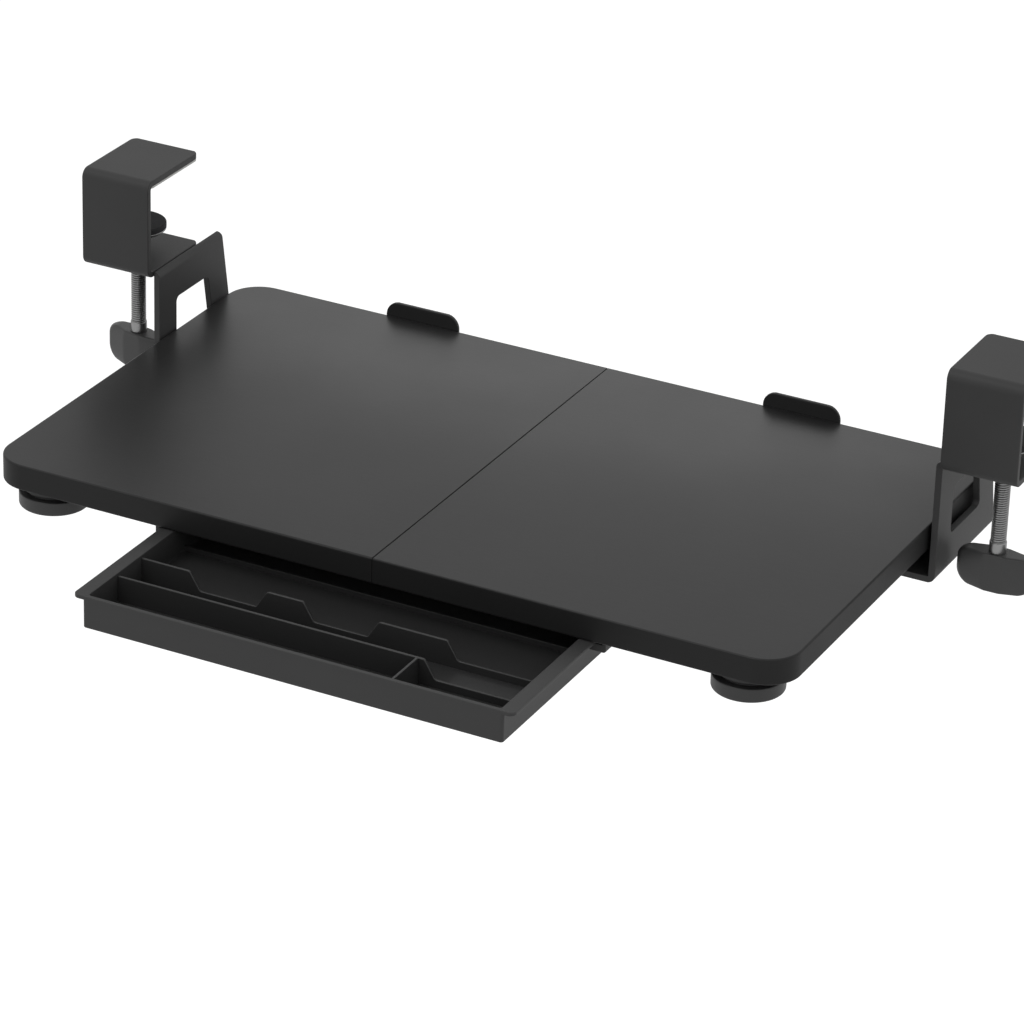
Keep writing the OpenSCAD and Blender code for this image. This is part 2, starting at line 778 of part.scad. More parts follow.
module rail_left() { color([0.16, 0.16, 0.17]) rail(LEFT); }
module rail_right() { color([0.16, 0.16, 0.17]) rail(RIGHT); }

module rail_screws() {
    color([0.4, 0.4, 0.42]) for (side = SIDES, y = rail_screw_ys) side_of(side)
        sunk_screw(rail_x, y, board_under - sink_t, 0);
}

// End stop: a plug that fills the rear of the channel
module rail_stop(side) {
    half = rail_w / 2 - rail_t;
    slot = rail_slot / 2;
    side_of(side) translate([rail_x, 0, 0]) along_y(rail_back - rail_stop_l, rail_back) polygon([
        [-slot, rail_under],
        [slot, rail_under],
        [slot, rail_under + rail_t],
        [half, rail_under + rail_t],
        [half, board_under - rail_t],
        [-half, board_under - rail_t],
        [-half, rail_under + rail_t],
        [-slot, rail_under + rail_t]]);
}

module rail_stop_left() { color([0.08, 0.08, 0.08]) rail_stop(LEFT); }
module rail_stop_right() { color([0.08, 0.08, 0.08]) rail_stop(RIGHT); }

// Feet: a flange, a groove and a round body, with a sunk bore for the screw
module foot(side) {
    r = foot_d / 2;
    flange_r = foot_flange_d / 2;
    low = -foot_h;
    groove_top = -foot_flange_t;
    groove_low = groove_top - foot_groove_h;
    side_of(side) translate([rail_x, foot_y, board_under]) rotate_extrude($fn = 96) polygon(rounded([
        [wood_r + fit_gap, 0, 0],
        [wood_r + fit_gap, low + foot_bore_h, 0],
        [foot_bore_r, low + foot_bore_h, 0],
        [foot_bore_r, low, 0],
        [r, low, foot_edge_r],
        [r, groove_low, 0.6],
        [flange_r - foot_groove_d, groove_low, 0],
        [flange_r - foot_groove_d, groove_top, 0],
        [flange_r, groove_top, 0.5],
        [flange_r, 0, 0.5]]));
}

module foot_left() { color([0.09, 0.09, 0.1]) foot(LEFT); }
module foot_right() { color([0.09, 0.09, 0.1]) foot(RIGHT); }

module foot_screws() {
    color([0.4, 0.4, 0.42]) for (side = SIDES) side_of(side) pan_screw(rail_x, foot_y, foot_h - foot_bore_h);
}

// Back stops: an upright plate behind the board with a foot under it
module back_stop(side) {
    low = board_under - stop_t;
    high = board_top + stop_h;
    left = stop_x - stop_w / 2;
    right = stop_x + stop_w / 2;
    side_of(side) difference() {
        intersection() {
            along_x(left, right) polygon(rounded([
                [board_back - stop_foot_l, low, 0],
                [board_back + stop_t, low, stop_t],
                [board_back + stop_t, high, 0],
                [board_back, high, 0],
                [board_back, board_under, 0],
                [board_back - stop_foot_l, board_under, 0]]));
            along_y(board_back - stop_foot_l - cut, board_back + stop_t + cut)
                polygon(rounded([
                    [left, low - cut, 0],
                    [right, low - cut, 0],
                    [right, high, stop_r],
                    [left, high, stop_r]]));
            upright(low - cut, high + cut) polygon(rounded([
                [left, board_back - stop_foot_l, 3],
                [right, board_back - stop_foot_l, 3],
                [right, board_back + stop_t + cut, 0],
                [left, board_back + stop_t + cut, 0]]));
        }
        for (x = stop_screw_xs) pin(x, stop_screw_y, low - cut, board_under + cut, wood_r + fit_gap);
    }
}

module back_stop_left() { color([0.09, 0.09, 0.1]) back_stop(LEFT); }
module back_stop_right() { color([0.09, 0.09, 0.1]) back_stop(RIGHT); }

module back_stop_screws() {
    color([0.4, 0.4, 0.42]) for (side = SIDES, x = stop_screw_xs) side_of(side) pan_screw(x, stop_screw_y, stop_t);
}

// Runners: a screw flange, a wall and a thick lip that carries the drawer's rim
module runner(side) {
    flange_low = board_under - runner_t;
    side_of(side) difference() {
        union() {
            along_y(runner_y, runner_back) polygon(rounded([
                [wall_in, board_under, 0],
                [wall_in, lip_top, 0],
                [lip_in, lip_top, 0.8],
                [lip_in, lip_under, 1],
                [wall_out, lip_under, 1.5],
                [wall_out, flange_low, 0.8],
                [runner_out, flange_low, 0.5],
                [runner_out, board_under, 0]]));
            box([rim_out + lip_gap, bump_back - bump_l, lip_top - cut], [wall_out - cut / 2, bump_back, board_under]);
            box([lip_in, runner_back - runner_t, lip_top - cut], [wall_out - cut / 2, runner_back, board_under]);
        }
        for (y = runner_screw_ys) pin(runner_screw_x, y, flange_low - cut, board_under + cut, wood_r + fit_gap);
    }
}

module runner_left() { color([0.1, 0.1, 0.11]) runner(LEFT); }
module runner_right() { color([0.1, 0.1, 0.11]) runner(RIGHT); }

module runner_screws() {
    color([0.4, 0.4, 0.42]) for (side = SIDES, y = runner_screw_ys) side_of(side)
        pan_screw(runner_screw_x, y, runner_t);
}

// Drawer: one moulding with side rims, lugs, dividers and a floor rib
// Places in the drawer count from its left side and its front face
module drawer_place() {
    translate([-drawer_w / 2, drawer_front, 0]) children();
}

// Divider along X: an outline of [x, z] with high and low stretches
module divider(y, outline) {
    drawer_place() along_y(y - divider_t / 2, y + divider_t / 2) polygon(rounded(outline));
}

module pen_divider() {
    bottom = drawer_floor_top - drawer_floor / 2;
    inside = drawer_wall / 2;
    divider(pen_divider_y, [
        [inside, bottom, 0],
        [drawer_w - inside, bottom, 0],
        [drawer_w - inside, scoop_top, 0],
        [pen_divider_l + scoop_run, scoop_top, 2],
        [pen_divider_l, divider_top, 2],
        [inside, divider_top, 0]]);
}

module scoop_divider() {
    bottom = drawer_floor_top - drawer_floor / 2;
    inside = drawer_wall / 2;
    narrow_end = narrow_tab_x + narrow_tab_l;
    wide_end = wide_tab_x + wide_tab_l;
    divider(scoop_divider_y, [
        [inside, bottom, 0],
        [drawer_w - inside, bottom, 0],
        [drawer_w - inside, scoop_top, 0],
        [wide_end + scoop_run, scoop_top, 2],
        [wide_end, divider_top, 2],
        [wide_tab_x, divider_top, 2],
        [wide_tab_x - scoop_run, scoop_top, 2],
        [narrow_end + scoop_run, scoop_top, 2],
        [narrow_end, divider_top, 2],
        [narrow_tab_x, divider_top, 2],
        [narrow_tab_x - scoop_run, scoop_top, 2],
        [scoop_first_l + scoop_run, scoop_top, 2],
        [scoop_first_l, divider_top, 2],
        [inside, divider_top, 0]]);
}

module drawer() {
    half = drawer_w / 2;
    wall = drawer_wall;
    color([0.1, 0.1, 0.11]) {
        difference() {
            union() {
                upright(drawer_bottom, rim_top)
                    round_rect([-half, drawer_front], [half, drawer_back], drawer_r);
                for (side = SIDES) side_of(side) {
                    upright(rim_under, rim_top) polygon(rounded([
                        [half - wall, drawer_front, 0],
                        [rim_out, drawer_front, rim_r],
                        [rim_out, drawer_back, 0.5],
                        [half - wall, drawer_back, 0]]));
                    box([rim_out - cut, drawer_back - lug_l, rim_under], [lug_out, drawer_back, rim_top]);
                }
            }
            upright(drawer_floor_top, rim_top + cut) round_rect(
                [-half + wall, drawer_front + wall],
                [half - wall, drawer_back - wall],
                drawer_inner_r);
        }
        pen_divider();
        scoop_divider();
        drawer_place() box(
            [cross_divider_x - divider_t / 2, wall / 2, drawer_floor_top - drawer_floor / 2],
            [cross_divider_x + divider_t / 2, pen_divider_y, divider_top]);
        drawer_place() box(
            [wall / 2, rib_y - divider_t / 2, drawer_floor_top - drawer_floor / 2],
            [drawer_w - wall / 2, rib_y + divider_t / 2, drawer_floor_top + rib_h]);
    }
}

clamp_left();
clamp_right();
top_pad_left();
top_pad_right();
clamp_nut_left();
clamp_nut_right();
bracket_left();
bracket_right();
bracket_welds();
glide_left();
glide_right();
glide_screws();
pressure_cup_left();
pressure_pad_left();
pressure_cup_right();
pressure_pad_right();
clamp_screw_left();
clamp_screw_right();
knob_left();
knob_right();
board_left();
board_right();
joining_plate_front();
joining_plate_rear();
joining_screws();
dowels();
rail_left();
rail_right();
rail_screws();
rail_stop_left();
rail_stop_right();
foot_left();
foot_right();
foot_screws();
back_stop_left();
back_stop_right();
back_stop_screws();
runner_left();
runner_right();
runner_screws();
drawer();
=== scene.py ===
# %% [markdown]
# # A keyboard tray that clamps under a desk
# The tray is held by two folded steel clamps. Beside each clamp's lower jaw a bracket is
# welded, and a nylon glide stands on its shelf. Two rails under the board run on the glides,
# so the board slides in under the desk. A shallow pen drawer runs under the board.
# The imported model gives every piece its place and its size. This notebook gives each piece its
# shape in detail and its finish, in metres and in the same frame.

# %% Load the frame
import bmesh
import bpy
import numpy as np
from mathutils import Matrix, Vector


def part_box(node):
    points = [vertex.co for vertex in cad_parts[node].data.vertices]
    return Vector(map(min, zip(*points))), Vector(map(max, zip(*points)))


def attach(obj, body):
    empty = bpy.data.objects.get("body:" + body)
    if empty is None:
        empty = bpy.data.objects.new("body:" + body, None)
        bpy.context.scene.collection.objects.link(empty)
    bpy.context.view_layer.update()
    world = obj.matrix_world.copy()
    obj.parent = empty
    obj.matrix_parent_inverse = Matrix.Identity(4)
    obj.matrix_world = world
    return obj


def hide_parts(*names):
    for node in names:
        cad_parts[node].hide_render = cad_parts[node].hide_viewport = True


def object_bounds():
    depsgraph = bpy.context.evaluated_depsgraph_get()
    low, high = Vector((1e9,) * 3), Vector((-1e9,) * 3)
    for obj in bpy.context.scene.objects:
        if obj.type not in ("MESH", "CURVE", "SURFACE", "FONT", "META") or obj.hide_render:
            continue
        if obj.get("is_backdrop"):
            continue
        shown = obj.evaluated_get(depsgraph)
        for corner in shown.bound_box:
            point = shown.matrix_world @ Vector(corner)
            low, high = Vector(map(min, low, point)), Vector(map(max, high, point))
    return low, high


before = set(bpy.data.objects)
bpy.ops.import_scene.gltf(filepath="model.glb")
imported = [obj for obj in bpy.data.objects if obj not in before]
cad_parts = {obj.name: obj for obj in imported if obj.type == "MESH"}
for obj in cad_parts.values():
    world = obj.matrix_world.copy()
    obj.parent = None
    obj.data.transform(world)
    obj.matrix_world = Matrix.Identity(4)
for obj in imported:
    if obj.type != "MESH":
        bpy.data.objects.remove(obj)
CAD_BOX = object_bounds()
MM = 0.001

# %% [markdown]
# ## The camera
# The photograph was taken with a long lens from the right and from above, and held a little
# crooked. The camera's axes are worked out from three turns, in words: yaw about the upright
# axis, then pitch above the horizon, then a roll about the line of sight. The focal length is
# the distance in image widths, times the sensor's width.

# %% Camera
IMAGE_SIZE = 1024
FOCAL_PIXELS = 4852.284
YAW, PITCH, ROLL = np.radians([26.5225, 26.3200, 1.8588])
CAMERA_PLACE = (0.992416, -2.006320, 0.976992)


def camera_axes(yaw, pitch, roll):
    """Right, up and back: right is level and turned by yaw, back rises by pitch, roll turns both."""
    back = np.array([np.sin(yaw) * np.cos(pitch), -np.cos(yaw) * np.cos(pitch), np.sin(pitch)])
    level = np.array([np.cos(yaw), np.sin(yaw), 0.0])
    upright = np.cross(back, level)
    right = np.cos(roll) * level + np.sin(roll) * upright
    up = -np.sin(roll) * level + np.cos(roll) * upright
    return right, up, back


def put_in_scene(thing, place, axes):
    """Links an object to the scene at its place, with its axes right, up and back."""
    pose = np.eye(4)
    pose[:3, :3] = np.column_stack(axes)
    pose[:3, 3] = place
    thing.matrix_world = Matrix(pose.tolist())
    bpy.context.scene.collection.objects.link(thing)


lens = bpy.data.cameras.new("photo_lens")
lens.sensor_width = 36.0
lens.lens = lens.sensor_width * FOCAL_PIXELS / IMAGE_SIZE
lens.clip_start, lens.clip_end = 0.05, 50.0
camera = bpy.data.objects.new("photo_camera", lens)
put_in_scene(camera, CAMERA_PLACE, camera_axes(YAW, PITCH, ROLL))
bpy.context.scene.camera = camera
print("lens of", round(lens.lens, 1), "mm")

# %% [markdown]
# ## Floor, sky and lamps
# The object hangs from a desk, so the floor lies a desk's height below it and takes only a
# faint shadow. Floor and sky are white to the camera and in reflections, through the Light
# Path node, and the lamps stay at a level at which a colour renders about as it is written.

# %% Stage
FLOOR_HEIGHT = -0.72
SKY_LEVEL = 0.72
FLOOR_GLOW = 0.42


def white_to_the_eye(tree):
    """A socket that is 1 for rays from the camera, from a mirror or through glass, else 0."""
    path = tree.nodes.new("ShaderNodeLightPath")
    total = path.outputs["Is Camera Ray"]
    for name in ("Is Glossy Ray", "Is Transmission Ray"):
        add = tree.nodes.new("ShaderNodeMath")
        add.operation = "MAXIMUM"
        tree.links.new(total, add.inputs[0])
        tree.links.new(path.outputs[name], add.inputs[1])
        total = add.outputs[0]
    return total


def make_sky():
    """Soft light for the object, and plain white for the eye."""
    world = bpy.data.worlds.new("studio_sky")
    world.use_nodes = True
    tree = world.node_tree
    tree.nodes.clear()
    mix, out = (tree.nodes.new(f"ShaderNode{kind}") for kind in ("MixShader", "OutputWorld"))
    tree.links.new(white_to_the_eye(tree), mix.inputs[0])
    for socket, strength in ((1, SKY_LEVEL), (2, 1.0)):
        light = tree.nodes.new("ShaderNodeBackground")
        light.inputs["Color"].default_value = (1, 1, 1, 1)
        light.inputs["Strength"].default_value = strength
        tree.links.new(light.outputs[0], mix.inputs[socket])
    tree.links.new(mix.outputs[0], out.inputs["Surface"])
    bpy.context.scene.world = world


def make_floor():
    """One wide pale square that glows a little for the eye."""
    half = 12.0
    mesh = bpy.data.meshes.new("studio_floor")
    corners = [(-half, -half), (half, -half), (half, half), (-half, half)]
    mesh.from_pydata([(x, y, FLOOR_HEIGHT) for x, y in corners], [], [(0, 1, 2, 3)])
    floor = bpy.data.objects.new("studio_floor", mesh)
    bpy.context.scene.collection.objects.link(floor)
    material = bpy.data.materials.new("pale_floor")
    material.use_nodes = True
    tree = material.node_tree
    shader = tree.nodes["Principled BSDF"]
    shader.inputs["Base Color"].default_value = (0.8, 0.8, 0.8, 1)
    shader.inputs["Roughness"].default_value = 1.0
    shader.inputs["Specular IOR Level"].default_value = 0.0
    shader.inputs["Emission Strength"].default_value = FLOOR_GLOW
    tree.links.new(white_to_the_eye(tree), shader.inputs["Emission Color"])
    mesh.materials.append(material)
    floor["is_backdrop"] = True


def make_lamp(name, place, aim, size, watts, up=(0, 0, 1)):
    """An elliptic area lamp of size (width, height) that looks from its place at its aim."""
    light = bpy.data.lights.new(name, "AREA")
    light.shape = "ELLIPSE"
    light.size, light.size_y = size
    light.energy = watts
    lamp = bpy.data.objects.new(name, light)
    lamp.visible_camera = False
    back = np.array(place, float) - np.array(aim, float)
    back /= np.linalg.norm(back)
    right = np.cross(up, back)
    right /= np.linalg.norm(right)
    put_in_scene(lamp, place, (right, np.cross(back, right), back))


make_sky()
make_floor()
make_lamp("key_lamp", (-0.9, -1.2, 2.4), (0, -0.05, -0.08), (1.6, 1.6), 20.0)
make_lamp("fill_lamp", (1.8, -1.4, 0.9), (0, -0.05, -0.08), (1.4, 1.4), 4.5)
make_lamp("rear_lamp", (-0.07, 0.17, -0.031), (-0.07, 0.17, -1), (0.50, 0.16), 0.165, up=(0, 1, 0))
bpy.context.scene.view_settings.view_transform = "Standard"
print("floor at", FLOOR_HEIGHT, "m")

# %% [markdown]
# ## Shader maths
# Node trees are long to write by hand. A small class wraps a socket and overloads the
# operators, so `0.4 + mask * 0.5` adds its Math nodes by itself.

# %% Sockets that understand arithmetic
class Value:
    """A node's output that can be added, subtracted and multiplied like a number."""

    def __init__(self, finish, socket):
        self.finish, self.socket = finish, socket

    def __add__(self, other):
        return self.finish.math("ADD", self, other)

    def __sub__(self, other):
        return self.finish.math("SUBTRACT", self, other)

    def __mul__(self, other):
        return self.finish.math("MULTIPLY", self, other)

    def clip(self):
        return self.finish.math("ADD", self, 0.0, use_clamp=True)

    __radd__ = __add__
    __rmul__ = __mul__


class Finish:
    """One procedural material. Constants go on the shader's own sockets."""

    def __init__(self, name, **constants):
        self.material = bpy.data.materials.new(name)
        self.material.use_nodes = True
        self.tree = self.material.node_tree
        self.shader = self.tree.nodes["Principled BSDF"]
        for key, value in constants.items():
            self.shader.inputs[key.replace("_", " ")].default_value = value
        self.place = self.node("ShaderNodeTexCoord", output="Object")

    def node(self, kind, settings=None, output=0, **inputs):
        """Adds a node. Inputs go by number, as i0, or by name with _ for a blank."""
        made = self.tree.nodes.new(kind)
        for key, value in (settings or {}).items():
            setattr(made, key, value)
        for key, value in inputs.items():
            place = int(key[1:]) if key[1:].isdigit() else key.replace("_", " ")
            self.put(value, made.inputs[place])
        return Value(self, made.outputs[output])

    def put(self, value, socket):
        if isinstance(value, Value):
            self.tree.links.new(value.socket, socket)
        else:
            socket.default_value = value

    def math(self, operation, a, b, use_clamp=False):
        return self.node("ShaderNodeMath", {"operation": operation, "use_clamp": use_clamp}, i0=a, i1=b)

    def noise(self, scale, detail, rough=0.5, stretch=None):
        """Noise in the object's own space, scaled along the axes by stretch."""
        place = self.place
        if stretch is not None:
            place = self.node("ShaderNodeMapping", i0=place, Scale=stretch)
        return self.node("ShaderNodeTexNoise", Vector=place, Scale=scale, Detail=detail, Roughness=rough)

    def attribute(self, name):
        """A value that a piece's points carry, and 0 on a piece without it."""
        return self.node("ShaderNodeAttribute", {"attribute_name": name}, output="Fac")

    def blend(self, factor, first, second):
        """Colour mix: the first colour where the factor is 0, the second where it is 1."""
        settings = {"data_type": "RGBA", "clamp_factor": True}
        return self.node("ShaderNodeMix", settings, output=2, i0=factor, i6=first, i7=second)

    def shades(self, mask, level, darker, lighter):
        """Grey of one level that the mask makes darker and lighter."""
        return self.blend(mask, grey(level * darker), grey(level * lighter))

    def finished(self, colour, roughness, height, depth, strength):
        """Feeds the shader, with a bump of the given depth from the height, for the material."""
        normal = self.node("ShaderNodeBump", Height=height, Distance=depth, Strength=strength)
        for name, value in (("Base Color", colour), ("Roughness", roughness), ("Normal", normal)):
            self.put(value, self.shader.inputs[name])
        return self.material


def grey(level):
    """Linear colour of one grey level."""
    return (level, level, level, 1.0)


print("shader helpers ready")

# %% [markdown]
# ## Finishes
# Everything on this tray is nearly black, so the finishes differ in gloss and texture more
# than in colour: powder coat has a fine orange peel, the laminate a faint cloudiness, moulded
# plastic a fine grain, and zinc plate is a dull metal. The `wear` attribute is 1 on the
# rounded edges of each piece, where a coat is rubbed thin and catches light.

# %% Powder coat and bare metals
def powder_coat(name, level, roughness):
    """Satin coat: cloudy colour, orange-peel bump, and edges rubbed a little paler."""
    coat = Finish(name, Specular_IOR_Level=0.20)
    cloud = coat.noise(24.0, 4.0)
    peel = coat.noise(1500.0, 2.0)
    rubbed = (coat.attribute("wear") * (coat.noise(160.0, 5.0) * 1.6 - 0.25)).clip()
    colour = coat.blend(rubbed * 0.7, coat.shades(cloud, level, 0.88, 1.14), grey(level * 2.1))
    roughness = roughness + 0.10 * (peel - 0.5) - 0.08 * rubbed
    return coat.finished(colour, roughness, peel, 0.00006, 0.6)


def zinc_plate(name, level, roughness):
    """Dull plated steel: metallic, with soft streaks round it, and darker and rougher in the hollows."""
    zinc = Finish(name, Metallic=0.9)
    cloud = zinc.noise(60.0, 5.0)
    fine = zinc.noise(900.0, 3.0, stretch=(1.0, 1.0, 5.0))
    hollow_darkening = zinc.attribute("hollow")
    colour = zinc.blend(hollow_darkening * 0.75, zinc.shades(cloud, level, 0.82, 1.12), grey(level * 0.25))
    roughness = roughness + 0.16 * (fine - 0.5) + 0.2 * hollow_darkening
    return zinc.finished(colour, roughness, fine, 0.00004, 0.5)


COAT = powder_coat("fine_black_powder_coat", 0.034, 0.54)
RAIL_COAT = powder_coat("thin_black_rail_coat", 0.022, 0.45)
BLACKENED = powder_coat("blackened_steel", 0.024, 0.40)
ZINC = zinc_plate("dull_zinc_plate", 0.235, 0.32)
print("metals:", COAT.name, RAIL_COAT.name, BLACKENED.name, ZINC.name)

# %% Laminate, plastics, rubber and wood
def laminate(name, top_level, shaded_band_level):
    """Black laminate: cloudy, with a fine close grain; the edge band is duller, and darker as painted shade.
    """
    board = Finish(name, Specular_IOR_Level=0.17)
    cloud = board.noise(14.0, 6.0, 0.6)
    grain = board.noise(420.0, 4.0, 0.55, stretch=(0.28, 1.0, 1.0))
    pores = board.noise(2600.0, 2.0)
    band = board.attribute("band")
    top = board.shades(cloud, top_level, 0.86, 1.16)
    top = board.blend(grain * 0.35, top, grey(top_level * 0.7))
    # painted shade: the edge band takes the darker band level
    colour = board.blend(band, top, board.shades(cloud, shaded_band_level, 0.9, 1.1))
    worn = (board.attribute("wear") * board.noise(90.0, 4.0)).clip()
    colour = board.blend(worn * 0.5, colour, grey(top_level * 1.5))
    roughness = 0.36 + 0.14 * (cloud - 0.5) + 0.10 * (pores - 0.5) + 0.2 * band
    return board.finished(colour, roughness, grain * 0.6 + pores * 0.4, 0.00008, 0.5)


def moulding(name, level, roughness, specular=0.35, grain_scale=1900.0):
    """Moulded plastic: an even colour under a fine grain, smoother on edges and inside a tray; inside a tray
    the colour is also darker, which is painted shade.
    """
    plastic = Finish(name, Specular_IOR_Level=specular)
    cloud = plastic.noise(30.0, 3.0)
    grain = plastic.noise(grain_scale, 2.0, 0.6)
    wear = plastic.attribute("wear")
    inside = plastic.attribute("inside")
    # painted shade: where inside is 1, the colour is blended half way to a darker grey
    colour = plastic.blend(inside * 0.5, plastic.shades(cloud, level, 0.93, 1.07), grey(level * 0.5))
    colour = plastic.blend(wear * 0.4, colour, grey(level * 1.7))
    roughness = roughness + 0.12 * (grain - 0.5) - 0.1 * wear - 0.18 * inside
    return plastic.finished(colour, roughness, grain, 0.00007, 0.6)


def soft_pad(name, colour, roughness):
    """Rubber or foam: dusty, cloudy and matt, with small open pores."""
    pad = Finish(name, Specular_IOR_Level=0.2)
    dust = pad.noise(70.0, 6.0, 0.65)
    pores = pad.noise(1300.0, 4.0, 0.7)
    darker, lighter = (tuple(c * share for c in colour) + (1.0,) for share in (0.86, 1.08))
    colour = pad.blend(dust, darker, lighter)
    return pad.finished(colour, roughness + 0.12 * (pores - 0.5), pores, 0.0001, 0.7)


def beech(name):
    """Turned beech: pale, with short darker flecks along the dowel."""
    wood = Finish(name)
    rings = wood.noise(500.0, 4.0, 0.6, stretch=(0.12, 1.0, 1.0))
    flecks = (wood.noise(1400.0, 2.0, stretch=(0.2, 1.0, 1.0)) * 3.0 - 1.7).clip()
    tone = wood.blend(rings, (0.62, 0.42, 0.24, 1), (0.74, 0.55, 0.34, 1))
    colour = wood.blend(flecks * 0.6, tone, (0.40, 0.23, 0.11, 1))
    return wood.finished(colour, 0.62, rings, 0.0001, 0.5)


# The second level darkens the board's edge band as painted shade.
LAMINATE = laminate("black_grained_laminate", 0.015, 0.009)
DRAWER_PLASTIC = moulding("black_drawer_moulding_shaded_inside", 0.033, 0.52, specular=0.22)
KNOB_PLASTIC = moulding("dark_knob_moulding", 0.034, 0.44, specular=0.3)
FOOT_PLASTIC = moulding("black_foot_moulding", 0.022, 0.50)
# The back stops' coat is darker than the clamps': partly their own darker colour, partly painted shade from
# the desk above them.
STOP_COAT_AND_SHADE = powder_coat("darker_stop_coat_and_painted_shade", 0.014, 0.62)
NYLON = moulding("black_nylon", 0.030, 0.36, specular=0.5, grain_scale=800.0)
RUBBER = soft_pad("black_disc_rubber", (0.020, 0.020, 0.021), 0.82)
PALE_PAD = soft_pad("pale_pad_foam", (0.60, 0.60, 0.58), 0.85)
BEECH = beech("turned_beech")
print("materials so far:", len(bpy.data.materials))

# %% [markdown]
# ## Outlines
# Most pieces start as a flat outline: straight edges with arcs at the corners. The arc's
# centre lies on the corner's bisector, at the radius over the sine of half the corner's angle.
# A short hold point before and after each arc keeps the flat faces flat in the shading.

# %% Outline helpers
HOLD = 0.12 * MM


def arc_outline(corners, steps=6):
    """Closed outline from rows of (u, v, radius), counted anticlockwise, as an array of points."""
    points = []
    total = len(corners)
    for i in range(total):
        back, here, ahead = (np.array(corners[(i + k) % total], float) for k in (-1, 0, 1))
        at = here[:2]
        if here[2] == 0:
            points.append(at)
            continue
        u = (back[:2] - at) / np.linalg.norm(back[:2] - at)
        v = (ahead[:2] - at) / np.linalg.norm(ahead[:2] - at)
        half = np.arccos(np.clip(u @ v, -1, 1)) / 2
        reach = here[2] / np.tan(half)
        centre = at + (u + v) / np.linalg.norm(u + v) * here[2] / np.sin(half)
        start, end = at + u * reach - centre, at + v * reach - centre
        first = np.arctan2(start[1], start[0])
        turn = (np.arctan2(end[1], end[0]) - first + np.pi) % (2 * np.pi) - np.pi
        angle = first + turn * np.linspace(0, 1, steps + 1)
        arc = centre + here[2] * np.column_stack([np.cos(angle), np.sin(angle)])
        points += [at + u * (reach + HOLD), *arc, at + v * (reach + HOLD)]
    return np.array(points)


def inset(outline, distance):
    """Every edge moved inwards by the distance: each point moves along its two edges' normals."""
    before = outline - np.roll(outline, 1, axis=0)
    after = np.roll(outline, -1, axis=0) - outline
    before /= np.linalg.norm(before, axis=1)[:, None]
    after /= np.linalg.norm(after, axis=1)[:, None]
    n1 = np.column_stack([-before[:, 1], before[:, 0]])
    n2 = np.column_stack([-after[:, 1], after[:, 0]])
    return outline + distance * (n1 + n2) / (1 + np.sum(n1 * n2, axis=1))[:, None]


def edge_profile(low, high, edge, steps=3):
    """Rows of (level, inset, wear) up a slab whose two rims are quarter rounds of radius edge."""
    angle = np.linspace(0, np.pi / 2, steps + 1)
    level = low + edge * (1 - np.sin(angle))
    into = edge * (1 - np.cos(angle))
    wear = np.sin(2 * angle)
    rising = np.column_stack([level, into, wear])[::-1]
    start = [[low, edge + HOLD, 0.0]]
    end = [[low + edge + HOLD, 0.0, 0.0]]
    lower = np.vstack([start, rising, end])
    upper = lower[::-1] * [-1, 1, 1] + [low + high, 0, 0]
    return np.vstack([lower, upper])


def box_corners(low, high, radius):
    """The four corners of a rectangle, each with the same radius."""
    return [(low[0], low[1], radius), (high[0], low[1], radius),
            (high[0], high[1], radius), (low[0], high[1], radius)]


print("outline of a rounded square:", len(arc_outline(box_corners((0, 0), (1, 1), 0.2))), "points")

# %% [markdown]
# ## From outlines to closed shells
# A loft joins a stack of rings, each with the same number of points, with four-sided faces and
# closes both ends. A slab is a loft of one outline, pulled in at the rims; a turned piece is a
# profile carried round an axis. A piece may hold several closed shells.

# %% Shell builder
AXES = {"x": (2, 0, 1), "y": (0, 2, 1), "z": (0, 1, 2)}


